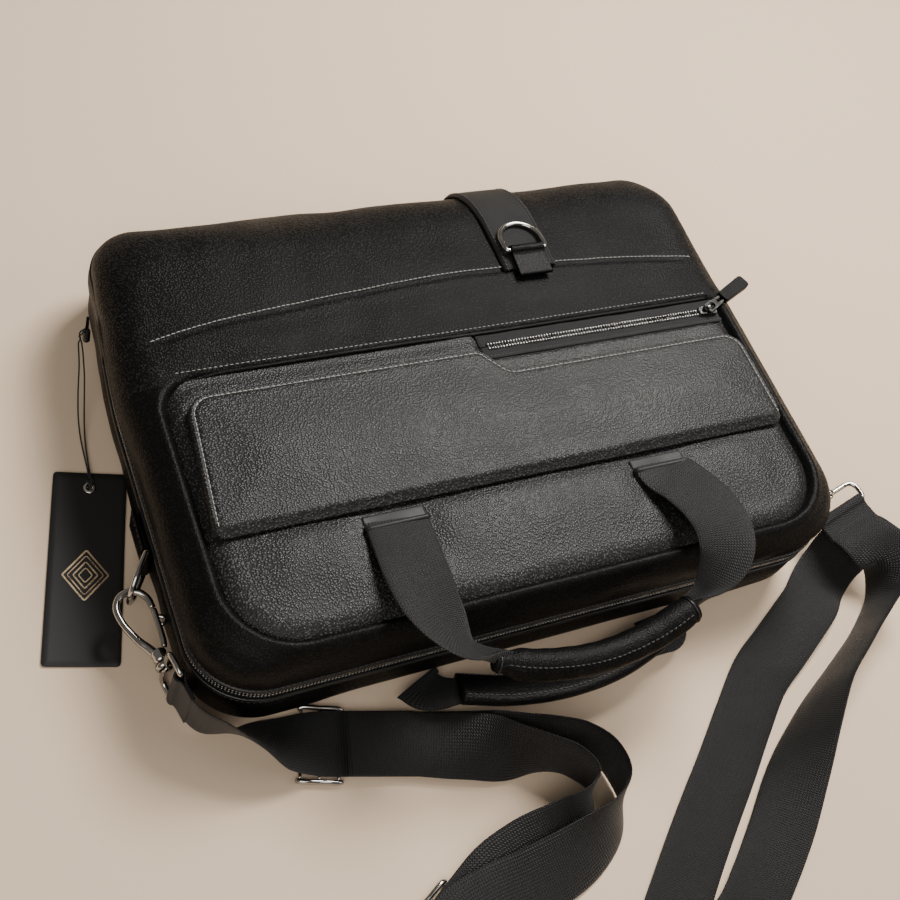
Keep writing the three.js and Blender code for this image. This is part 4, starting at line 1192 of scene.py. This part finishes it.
def bottom_band():
    """Webbing sewn over the rounded bottom edge. It ends just above the seam of the two halves."""
    y_flat = np.linspace(BAND_START, FAR - FAR_ROUND[0], 16)
    run, rise = FAR_ROUND
    angle = np.linspace(0, math.acos((BAND_END - THICK + rise) / rise), 46)[1:]
    y = np.concatenate([y_flat, FAR - run + run * np.sin(angle)])
    z = np.concatenate([np.full(16, THICK), THICK - rise + rise * np.cos(angle)])
    z = z + 0.6 * np.exp(-(((y - 96) / 18) ** 2))
    path = np.column_stack([y, z])
    along = unit(np.gradient(path, axis=0))
    normal = np.column_stack([-along[:, 1], along[:, 0]])
    across = np.linspace(-1, 1, 17)
    profile = 1.6 + 0.5 * (1 - across**4)
    profile[[0, -1]] = 0.3
    rows = []
    for u, lift in zip(across, profile):
        lifted = path + normal * (lift + 0.8)
        rows.append(line_at(BAND_X + u * BAND_WIDTH / 2, *lifted.T))
    uv = uv_of((across * WEB_HALF)[:, None], run_of(path))
    obj = thickened(sheet_of("bottom_band_webbing", WEBBING_BAND, rows, uv), BAND_SHEET, 1)
    settle(obj, "front_half", "webbing", "bottom_band")
    for sign, label in ((-1, "left"), (1, "right")):
        row = line_at(BAND_X + sign * (BAND_WIDTH / 2 - 2.6), *(path + normal * 2.85).T)
        name = f"band_stitches_{label}"
        stitches(name, row, line_at(0, *normal.T), "front_half", "webbing", THREAD_DARK, 3.2, 2.3, 0.3)


bottom_band()


def d_ring_line(width, reach):
    """A D-shaped wire: its bar lies on the Y axis and its bow reaches out along X."""
    half = width / 2
    angle = np.linspace(-math.pi / 2, math.pi / 2, 40)
    bow = np.column_stack([reach - half + half * np.cos(angle), half * np.sin(angle)])
    corner = 2.2
    turn = np.linspace(0, math.pi / 2, 8)
    top = np.column_stack([corner - corner * np.sin(turn), half - corner + corner * np.cos(turn)])
    bottom = np.column_stack([corner - corner * np.cos(turn), corner - half - corner * np.sin(turn)])
    flat = resample(np.vstack([bow, top, bottom]), 96, closed=True)
    return np.column_stack([flat, np.zeros(len(flat))])


def d_ring(name, width, reach, wire, origin, axes, body, node):
    made = tube(placed(d_ring_line(width, reach), origin, *axes), wire, 14, closed=True, normal=axes[2])
    return settle(made.done(name, HARDWARE), body, "hardware", node)


RING_WIRE = 1.75
RING_AT = (68, 88, 91.8)
FRONT_RING_AXES = (
    (0, math.cos(0.08), -math.sin(0.08)), (-1, 0, 0), (0, math.sin(0.08), math.cos(0.08)),
)
d_ring("front_ring_metal", 30, 23, RING_WIRE, RING_AT, FRONT_RING_AXES, "front_ring", "front_ring")


def loop_strip(name, material, origin, axes, length, hole, thick, height, body, slot, node, stitch=True):
    """A strip folded round a wire: two layers that lie together and end in an eye round the origin."""
    layer = thick * 0.6
    outer = hole + layer
    turn = np.linspace(0.5, 2 * math.pi - 0.5, 30)
    eye_out = np.column_stack([outer * np.cos(turn), outer * np.sin(turn)])
    eye_in = np.column_stack([hole * np.cos(turn[::-1]), hole * np.sin(turn[::-1])])
    reach = np.linspace(outer + 2.2, length, 10)
    upper = np.column_stack([reach, np.full(10, layer)])
    inner = [(length, 0.04), (outer + 2.2, 0.04)]
    profile = np.vstack([eye_out, upper * (1, -1), np.array(inner) * (1, -1), eye_in,
                         np.array(inner)[::-1], upper[::-1]])
    rows = []
    for level, shrink in ((-0.5, 0.35), (-0.485, 0.1), (-0.46, 0), (0, 0), (0.46, 0), (0.485, 0.1),
                          (0.5, 0.35)):
        centre = profile.mean(0)
        inner = profile - np.sign(profile - centre) * shrink * 0.25
        rows.append(line_at(*inner.T, level * height))
    rows = np.array(rows)
    uv = uv_of(rows[:, :, 2], rows[:, :, 0])
    obj = settle(lofted(name, material, placed(rows, origin, *axes), uv), body, slot, node)
    if stitch:
        for level, label in ((-0.36, "a"), (0.36, "b")):
            line = line_at(np.linspace(outer + 2.5, length - 2.2, 30), layer + 0.05, level * height)
            line = placed(line, origin, *axes)
            stitches(f"{name}_stitches_{label}", line, axes[1], body, slot, THREAD_DARK, 2.8, 2.0, 0.28)
    return obj


LOOP_AXES = ((0, -math.cos(0.11), -math.sin(0.11)), (0, math.sin(0.11), -math.cos(0.11)), (1, 0, 0))
FLIPPED_LOOP = (LOOP_AXES[0], tuple(-c for c in LOOP_AXES[1]), tuple(-c for c in LOOP_AXES[2]))
loop_strip("ring_loop_leather", LEATHER_LOW_SHADED, RING_AT, FLIPPED_LOOP, 20, 2.1, 1.8, 24, "front_half",
           "leather", "ring_loop")


# ---------------------------------------------------------------- handles

FRONT_LEGS = {
    "left": [
        [-HANDLE_X, -84, 88.2, 38, 0], [-89, -98, 90.5, 38, 0], [-90, -120, 92.5, 38, 2],
        [-88, -140, 91.5, 36, 8],
        [-82, -156, 87, 31, 20], [-73, -166.5, 80, 24, 38], [-62.5, -171, 74.2, 13, 52],
        [-50, -175, 70.4, 7, 60],
    ],
    "right": [
        [HANDLE_X, -84, 88.2, 38, 0], [88.2, -90, 89.4, 38, 0], [93, -102, 93.8, 38, 0],
        [99, -120, 97.5, 38, -2],
        [101, -138, 98, 36, -8], [97, -154, 93, 31, -20], [88, -165.5, 84, 24, -38],
        [77.5, -171, 75.2, 13, -52], [63, -175.2, 71, 7, -60],
    ],
}
REAR_LEGS = {
    "left": [
        [-81, -152, 9.5, 32, 0], [-78, -158.5, 10.5, 28, 2], [-72, -163.5, 12.8, 24, 10],
        [-63, -167, 16.5, 20, 20],
        [-52, -168.5, 19.2, 18, 27],
    ],
    "right": [
        [HANDLE_X, -151, 9.5, 36, 0], [88.5, -158, 10, 33, 0], [86, -164.5, 13, 28, 2],
        [77, -168, 17, 22, 12],
        [62, -170, 19.2, 18, 27],
    ],
}


def handle_webbing():
    for side, route in FRONT_LEGS.items():
        rings, uv, _ = ribbon_rings(route, HANDLE_THICK, 64, 17, 0.2, 41,
                                    cup=[(0, 0), (0.45, 0.4), (0.8, 5), (1, 7)])
        obj = lofted(f"front_handle_strap_{side}", WEBBING, rings, uv)
        hem = line_at(np.linspace(-19.3, 19.3, 14) + route[0][0], -86.2, 89.6)
        settle(tube(hem, 1.5, 10, flat=0.7).done(f"front_handle_hem_{side}", WEBBING), "front_handle",
               "webbing")
        settle(obj, "front_handle", "webbing", f"front_handle_webbing_{side}")
    for side, route in REAR_LEGS.items():
        rings, uv, _ = ribbon_rings(route, HANDLE_THICK, 30, 13, 0.1, 43,
                                    cup=[(0, 0), (0.5, 0.5), (1, 2.5)])
        obj = lofted(f"rear_handle_strap_{side}", WEBBING, rings, uv)
        settle(obj, "rear_handle", "webbing", f"rear_handle_webbing_{side}")


handle_webbing()


def handle_patches():
    for side, sign in (("left", -1), ("right", 1)):
        centre = sign * HANDLE_X
        left, right = centre - WEB_HALF, centre + WEB_HALF
        outline = outline_of([(right, -77, 1), (left, -77, 1), (left, -103, 1), (right, -103, 1)], 2.0)
        edge = [(d, constant(height)) for d, height in ((0.2, 85.0), (0.0, 85.8), (0.3, 86.5), (1.2, 86.7))]
        made = pad(outline, edge, lambda x, y, d: 86.7 + 0.1 * np.sin(y), 2.0)
        obj = welded(made.done(f"front_patch_{side}", WEBBING))
        settle(obj, "front_half", "webbing", f"front_handle_patch_{side}")


handle_patches()

FRONT_GRIP_RADIUS = 9.3
REAR_GRIP_HALF_THICK = 4.3
FRONT_GRIP = [(-58.8, -172.8, 72.5), (-30, -180.5, 68.5), (6, -184.5, 66.5), (42, -181, 68.5),
              (72.8, -172.8, 73.5)]
REAR_GRIP = [
    [-61.8, -166, 19.5, 24, 28], [-30, -175, 18.5, 24, 28], [5, -179, 18, 24, 28],
    [40, -176.5, 18.5, 24, 28],
    [70.8, -168, 19.5, 24, 28],
]


def front_grip():
    """Leather rolled round the webbing, with its lip underneath and stitches along its top."""
    line = spline(FRONT_GRIP, 110)
    t = np.linspace(0, 1, len(line))
    radius = FRONT_GRIP_RADIUS * (0.55 + 0.45 * smoothstep(t, 0, 0.13)) * (0.86 + 0.14
                                                                           * smoothstep(1 - t, 0, 0.08))
    radius = radius * (1 + 0.012 * np.sin(t * 60))
    rings = tube_rings(line, radius, 28, flat=0.94)
    grip = lofted("front_grip_leather", LEATHER_LOW_SHADED, rings)
    settle(grip, "front_handle", "leather", "front_handle_grip")
    lip = tube_rings(line[4:-2] + np.array([0, 0.6, -1]) * radius[4:-2, None] * 0.82, 1.5, 10)
    settle(lofted("front_grip_seam", EDGE, lip), "front_handle", "leather_edge")
    for index, name in ((2, "left"), (len(line) - 3, "right")):
        ring = tube_rings(line[index - 1 : index + 2], radius[index] * 1.02, 28, flat=0.94)[1]
        made = tube(ring, 0.7, 8, closed=True, normal=tangents(line)[index])
        settle(made.done(f"front_grip_end_{name}", EDGE), "front_handle", "leather_edge")
    run = line[6:-6] + np.array([0, -0.55, 0.83]) * radius[6:-6, None] * 0.99
    stitches("front_grip_stitches", run, (0, -0.55, 0.83), "front_handle", "leather", THREAD_DARK, 3.2,
             2.3, 0.3)


front_grip()


def rear_grip():
    """A flat padded grip, stitched along both its edges."""
    centre, width, across, face = ribbon_frame(spline(REAR_GRIP, 70))
    angle = np.linspace(0, 2 * math.pi, 36, endpoint=False)
    u = np.sign(np.cos(angle)) * np.abs(np.cos(angle)) ** 0.55
    v = np.sign(np.sin(angle)) * np.abs(np.sin(angle)) ** 0.75
    t = np.linspace(0, 1, len(centre))
    full = 1 + 0.03 * np.sin(t * 21)
    rings = centre[:, None] + across[:, None] * (u[None, :, None] * width[:, None, None] / 2)
    rings = rings + face[:, None] * (v[None, :, None] * REAR_GRIP_HALF_THICK * full[:, None, None])
    grip = lofted("rear_grip_leather", LEATHER_LOW_SHADED, rings)
    settle(grip, "rear_handle", "leather", "rear_handle_grip")
    for sign, edge in ((-1, "bag_side"), (1, "near_side")):
        for flip, label in ((1, "top"), (-1, "under")):
            line = centre + across * (width[:, None] / 2 * 0.74 * sign) + face * (4.0 * flip)
            name, up = f"rear_grip_stitches_{edge}_{label}", face[2:-2] * flip
            stitches(name, line[2:-2], up, "rear_handle", "leather", THREAD_DARK, 3.2, 2.3, 0.32)


rear_grip()


# ---------------------------------------------------------------- side rings and snap hooks

CHAINS = {
    "left": dict(sign=-1, out=(-0.56, -0.828, 0), run=(0.21, -0.976, -0.045), roll=math.pi / 2),
    "right": dict(sign=1, out=(0.72, -0.694, 0), run=(0.22, -0.975, 0.03), roll=0.25),
}
TAB_EYE = (HALF + 4.6, -48, 27)
SIDE_RING_REACH = 25
HOOK = dict(swivel=41.3, bar=57, half=21.5)


def snap_hook(side, sign, out, run, roll):
    """One side's tab, ring, claw, gate, swivel loop and folded strap end, laid along the direction run."""
    eye = np.array((sign * TAB_EYE[0], TAB_EYE[1], TAB_EYE[2]))
    outward_ = unit(out)
    ring_axes = (outward_, (0, 0, 1), np.cross(outward_, (0, 0, 1)))
    tab_axes = ((0, 1, 0), (sign, 0, 0), (0, 0, -sign))
    tab = (f"side_tab_leather_{side}", LEATHER_LOW_SHADED, eye, tab_axes)
    loop_strip(*tab, 30, 2.1, 1.8, 22, "root", "leather", f"side_tab_{side}")
    d_ring(f"side_ring_metal_{side}", 28, SIDE_RING_REACH, RING_WIRE, eye, ring_axes, f"{side}_ring",
           f"side_ring_{side}")

    forward = unit(run)
    sideways = unit(np.cross((0, 0, 1), forward))
    axes = (forward, sideways, np.cross(forward, sideways))
    tip = eye + outward_ * SIDE_RING_REACH

    def put(points):
        return placed(points, tip, *axes)

    bend = spline(
        [(36, -1.2, 0), (30, -3.6, 0), (24, -6.3, 0), (10, -9.6, 0), (1, -8.6, 0), (-3.8, -4.2, 0),
         (-4.6, 0.6, 0),
         (-2.2, 6.2, 0), (3.4, 9.2, 0), (9.6, 9.2, 0)], 70)
    t = np.linspace(0, 1, 70)
    thickness = 2.1 * (1 + 0.28 * (1 - smoothstep(t, 0, 0.3)) - 0.1 * smoothstep(t, 0.8, 1))
    claw = Build()
    claw.loft(tube_rings(put(bend), thickness, 14, normal=axes[2]))
    neck = [(0.01, 32.6), (2.6, 32.8), (4.2, 33.8), (4.6, 35.5), (4.1, 37), (4.6, 38.5), (4.2, 40.2),
            (2.4, 40.8), (1.8, 41),
            (1.8, 45), (3.2, 45), (3.4, 45.7), (3.0, 46.4), (0.01, 46.6)]
    claw.loft(put(lathe_rings(neck, 24)))
    settle(claw.done(f"claw_metal_{side}", HARDWARE), f"{side}_claw", "hardware", f"hook_claw_{side}")

    gate = Build()
    bar = spline([(10.6, 9.2, 0), (12.4, 9, 0), (21, 7.6, 0), (31.2, 5.4, 0), (33, 4.4, 0)], 26)
    gate.loft(tube_rings(put(bar), 1.7, 12, normal=axes[2]))
    thumb = spline([(15.2, 9, 0), (16.4, 11.2, 0), (18.4, 12.2, 0), (20.2, 11, 0), (20.8, 9, 0)], 16)
    gate.loft(tube_rings(put(thumb), 1.3, 10, normal=axes[2]))
    settle(gate.done(f"gate_metal_{side}", HARDWARE), f"{side}_gate", "hardware", f"hook_gate_{side}")

    swivel, bar_x, half = HOOK["swivel"], HOOK["bar"], HOOK["half"]
    side_line = [
        (swivel + 2, half - 7), (swivel + 3, half - 2.2), (swivel + 6, half), (bar_x - 3, half),
        (bar_x - 0.6, half - 0.8), (bar_x, half - 3),
    ]
    other_line = [(x, -y) for x, y in reversed(side_line)]
    frame_line = line_at(*np.array([*side_line, (bar_x, 0), *other_line, (swivel + 2, 0)]).T, 0)
    smooth = spline(np.vstack([frame_line, frame_line[:1]]), 120)[:-1]
    cos, sin = math.cos(roll), math.sin(roll)

    def rolled(points):
        x, y, z = np.asarray(points, float).T
        return put(np.column_stack([x, y * cos - z * sin, y * sin + z * cos]))

    normal = rolled([[0, 0, 1]])[0] - tip
    loop = Build()
    loop.loft(tube_rings(rolled(smooth), RING_WIRE, 12, closed=True, normal=normal), closed=True)
    collar = [(2.2, -0.1), (5.2, 0.1), (5.6, 1.4), (5.2, 3.2), (3.7, 3.6), (3.6, 0.9), (2.2, 0.9)]
    collar = [(radius, swivel + x) for radius, x in collar]
    loop.loft(put(lathe_rings(collar, 24)), closed=True)
    settle(loop.done(f"hook_loop_metal_{side}", HARDWARE), "root", "hardware", f"hook_loop_{side}")

    tilt = roll + math.pi / 2
    fold_y = np.array((0, math.cos(tilt), math.sin(tilt))) @ np.array(axes)
    fold_z = np.array((0, -math.sin(tilt), math.cos(tilt))) @ np.array(axes)
    loop_strip(
        f"strap_fold_{side}", WEBBING, tip + forward * bar_x, (forward, fold_y, fold_z), 15, 2.5, 2.2,
        STRAP_WIDTH, "root",
        "webbing", f"strap_end_{side}", stitch=False,
    )


for side, chain in CHAINS.items():
    snap_hook(side, **chain)


# ---------------------------------------------------------------- adjusters on the strap


def adjuster(name, at, heading):
    """A cast ladder frame: two rails and three round bars."""
    half = STRAP_WIDTH / 2
    made = Build()
    for sign in (-1, 1):
        rail = spline([(-12.6, sign * (half + 1.8), 1.6), (-11, sign * (half + 2.5), 2.8),
                       (0, sign * (half + 2.6), 3.0),
                       (11, sign * (half + 2.5), 2.8), (12.6, sign * (half + 1.8), 1.6)], 24)
        made.loft(tube_rings(rail, 1.5, 12, flat=1.15))
    for x in (-11, 0, 11):
        bar = np.array([(x, y, 1.25) for y in np.linspace(-half - 2.2, half + 2.2, 12)])
        made.loft(tube_rings(bar, 1.0, 12))
    obj = made.done(name + "_metal", HARDWARE)
    turn = (math.cos(heading), math.sin(heading))
    axes = ((turn[0], turn[1], 0), (-turn[1], turn[0], 0), (0, 0, 1))
    points = np.zeros(len(obj.data.vertices) * 3)
    obj.data.vertices.foreach_get("co", points)
    moved = placed(points.reshape(-1, 3) / MM, at, *axes) * MM
    obj.data.vertices.foreach_set("co", moved.ravel())
    return settle(obj, "root", "hardware", name)


ADJUSTERS = {
    "strap_adjuster_left": ((-146, -170.5, 0.2), -0.33),
    "strap_buckle_left": ((-105, -287, 0.2), 0.5),
    "strap_adjuster_bottom": ((-40, -350.5, 0.2), 0.0),
}
FITTINGS = {name: adjuster(name, *placing) for name, placing in ADJUSTERS.items()}


# ---------------------------------------------------------------- hang tag

TAG = dict(width=43, length=125, centre=(-244, -30), heading=-0.267, hole=52)


def tag_axes():
    c, s = math.cos(TAG["heading"]), math.sin(TAG["heading"])
    return ((c, s, 0), (-s, c, 0), (0, 0, 1))


def tag_place(points):
    return placed(points, (*TAG["centre"], 0), *tag_axes())


def tag_curl(x, y):
    """A card lifts a little at its far end, where the string pulls."""
    return 0.5 * smoothstep(y, 10, 62) + 0.15 * (x / 20) ** 2


def hang_tag():
    """The card with its foil mark, eyelet and knot. It returns the two pieces that the string passes."""
    half, long = TAG["width"] / 2, TAG["length"] / 2
    outline = outline_of([(half, long, 2), (-half, long, 2), (-half, -long, 2), (half, -long, 2)], 2.0)
    low, high = 0.3, 1.2
    rounding = ((0.12, low), (0.0, low + 0.15), (0.0, high - 0.15), (0.12, high))
    edge = [(inset, lambda x, y, height=height: height + tag_curl(x, y)) for inset, height in rounding]
    made = pad(outline, edge, lambda x, y, d: high + tag_curl(x, y), 4.0)
    made.points = [tag_place(p) for p in made.points]
    settle(welded(made.done("tag_card", CARD), 0.02), "root", "card", "hang_tag_card")

    def band(outer, inner):
        """Foil between two outlines, pressed into the card."""
        levels = ((outer, -0.05), (outer, 0.12), (inner, 0.12), (inner, -0.05))
        return tag_place([line_at(*p.T, high + tag_curl(*p.T) + level) for p, level in levels])

    mark = Build()
    middle = np.array((0, -6))

    def lozenge(size, wide):
        corners = [(size * 0.8, 0, 1.2), (0, size, 1.2), (-size * 0.8, 0, 1.2), (0, -size, 1.2)]
        outer = outline_of(corners, 1.0)
        return outer + middle, inset_outline(outer, wide) + middle

    for size, wide in ((17, 1.0), (13.2, 0.6), (9.4, 0.9), (5.4, 0.6)):
        mark.loft(band(*lozenge(size, wide)), closed=True)
    settle(mark.done("tag_foil_mark", FOIL, smooth=False), "root", "eyelet")

    profile = [(1.5, 0.1), (2.4, 0.1), (2.5, 1.5), (3.5, 1.75), (3.8, 2.0), (3.5, 2.3), (2.4, 2.45),
               (1.6, 2.2)]
    turn = 2 * math.pi * np.arange(28) / 28
    rings = np.array([[(r * math.cos(a), r * math.sin(a) + TAG["hole"], z) for a in turn] for r,
                      z in profile])
    made = lofted("tag_eyelet_metal", EYELET, tag_place(rings), closed=True)
    eyelet = settle(made, "root", "eyelet", "hang_tag_eyelet")

    t = np.linspace(0, 2 * math.pi, 90, endpoint=False)
    knot_line = line_at(np.sin(t) + 1.3 * np.sin(2 * t), np.cos(t) - 1.3 * np.cos(2 * t),
                        -1.0 * np.sin(3 * t))
    knot_line = knot_line * 0.82 + np.array((-229.4, 22.2, 4.2))
    made = tube(knot_line, 0.62, 8, closed=True, normal=(0.2, 0.3, 1))
    tie = spline([(-229.4, 22, 4.0), (-229.9, 19.6, 4.4), (-229.7, 18.0, 3.0), (-229.9, 20.1, 1.6)], 20)
    made.loft(tube_rings(tie, 0.55, 8, normal=(1, 0, 0)))
    knot = settle(made.done("tag_knot", STRING), "root", "string", "hang_tag_knot")
    return eyelet, knot


TAG_EYELET, TAG_KNOT = hang_tag()


def zip_end_tabs():
    for side, sign in (("left", -1), ("right", 1)):
        origin = (sign * (HALF + 3.6), ZIP_END + 6, SPLIT)
        tilt = 0.3 if sign < 0 else 0.06
        cos, sin = math.cos(tilt), math.sin(tilt)
        axes = ((-sign * sin, cos, 0), (sign * cos, sin, 0), (0, 0, -sign))
        tab = (f"zip_end_leather_{side}", EDGE, origin, axes)
        loop_strip(*tab, 11, 1.4, 1.5, 9, "root", "leather_edge", f"zip_end_tab_{side}", stitch=False)


zip_end_tabs()


# ---------------------------------------------------------------- inside


def lining_piece(name, body, node, levels, floor_z, seed):
    """Lining cloth inside a half's wall at the given heights, closed over by a floor at floor_z."""
    rings = np.array([body_ring(z, 4.6) for z in levels])[:, ::2]
    points = rings.reshape(-1, 3)
    flat = outward(points)
    slack = 0.4 + 0.4 * ripple(points, 60, seed) + 0.2 * ripple(points, 22, seed + 1)
    points[:, :2] -= flat * slack[:, None]
    rings = points.reshape(rings.shape)
    shrink = [rings[0] * (1 - t) + np.array([0, 8, floor_z]) * t for t in (0.85, 0.6, 0.35, 0.18, 0.07)]
    rings = np.array([*shrink, *rings])
    made = Build()
    rows, columns = rings.shape[:2]
    made.add(rings, grid_faces(rows, columns) + [tuple(range(columns))])
    return settle(thickened(made.done(name, LINING), LINING_SHEET, 0), body, "lining", node)


lining_piece("rear_lining_cloth", "root", "rear_lining", [4.8, 6, 8, 11, 16, 22, 28, 34, 37], 4.8, 51)
lining_piece("front_lining_cloth", "front_half", "front_lining", [74.2, 72, 69, 65, 60, 55, 50.5], 74.2, 53)


def divider():
    outline = outline_of([(190, 143, 12), (-190, 143, 12), (-190, -126, 28), (190, -126, 28)], 3.0)
    rounding = ((3.0, 26.6), (1.0, 27.2), (0.0, 29), (0.0, 31), (1.0, 32.8), (3.0, 33.6))
    edge = [(inset, constant(height)) for inset, height in rounding]

    def crown(x, y, inset):
        flat = line_at(x, y, 0)
        quilt = 0.9 * np.exp(-(((np.mod(x + 200, 80) - 40) / 2.5) ** 2))
        return 33.6 + 0.6 * smoothstep(inset, 3, 20) - quilt * smoothstep(inset, 6,
                                                                          14) + 0.2 * ripple(flat, 50, 61)

    obj = welded(pad(outline, edge, crown, 4.0).done("divider_pad", LINING))
    settle(obj, "root", "divider", "laptop_divider")
    line = inset_outline(outline, 0.2)
    cord = tube(line_at(*line.T, 30.0), 1.7, 8, closed=True)
    settle(cord.done("divider_piping", EDGE), "root", "leather_edge")


divider()


def dress(nodes, material, bevel=0.0):
    """Gives CAD nodes that stay shown their finish."""
    for name in nodes:
        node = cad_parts[name]
        node.data.materials.clear()
        node.data.materials.append(material)
        node.data.polygons.foreach_set("use_smooth", [True] * len(node.data.polygons))
        if bevel:
            bevelled(node, bevel, 2)


dress(["main_zip_slider", "pocket_zip_slider"], DARK_METAL, 0.25)
dress(["main_zip_puller", "pocket_zip_puller"], DARK_METAL, 0.25)
# The pull tab takes the darker, shaded copy of the leather, as painted shade.
dress(["pocket_zip_pull_tab"], LEATHER_LOW_SHADED, 0.4)
dress(["bottom_stiffener_board"], CARD, 0.3)


# ---------------------------------------------------------------- cords, floor and light

for name, (obj, centre, length) in STRAPS.items():
    "object" if "tail" in name else "fitting"
    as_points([tuple(p * MM) for p in centre[::3]] + [tuple(centre[-1] * MM)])

string, string_line, string_length = TAG_STRING
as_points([tuple(p * MM) for p in string_line[::2]] + [tuple(string_line[-1] * MM)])


FLOOR_REACH = 6000
LIGHTS_AIM = Vector((0, 0, 0.03))


def studio():
    """A pale floor, a dim warm surround and three soft square lights."""
    corners = np.array([(-1, -1, 0), (1, -1, 0), (1, 1, 0), (-1, 1, 0)]) * FLOOR_REACH
    floor = make("floor", corners, [(0, 1, 2, 3)], FLOOR)
    world = bpy.data.worlds.new("world")
    bpy.context.scene.world = world
    world.use_nodes = True
    background = world.node_tree.nodes["Background"]
    background.inputs["Color"].default_value = (1.0, 0.93, 0.85, 1)
    background.inputs["Strength"].default_value = 0.17
    for name, at, size, power, tint in (
        ("key", (0.6, 0.46, 1.2), 0.55, 32, (1.0, 0.965, 0.92)),
        ("fill", (1.6, -0.9, 1.4), 1.2, 10, (1.0, 0.97, 0.94)),
        ("front", (-0.8, -1.0, 1.3), 1.1, 13, (1.0, 0.965, 0.92)),
    ):
        data = bpy.data.lights.new(name, "AREA")
        data.shape = "SQUARE"
        data.size = size
        data.energy = power
        data.color = tint
        light = bpy.data.objects.new(name, data)
        light.location = at
        light.rotation_euler = (LIGHTS_AIM - Vector(at)).to_track_quat("-Z", "Y").to_euler()
        bpy.context.collection.objects.link(light)


studio()
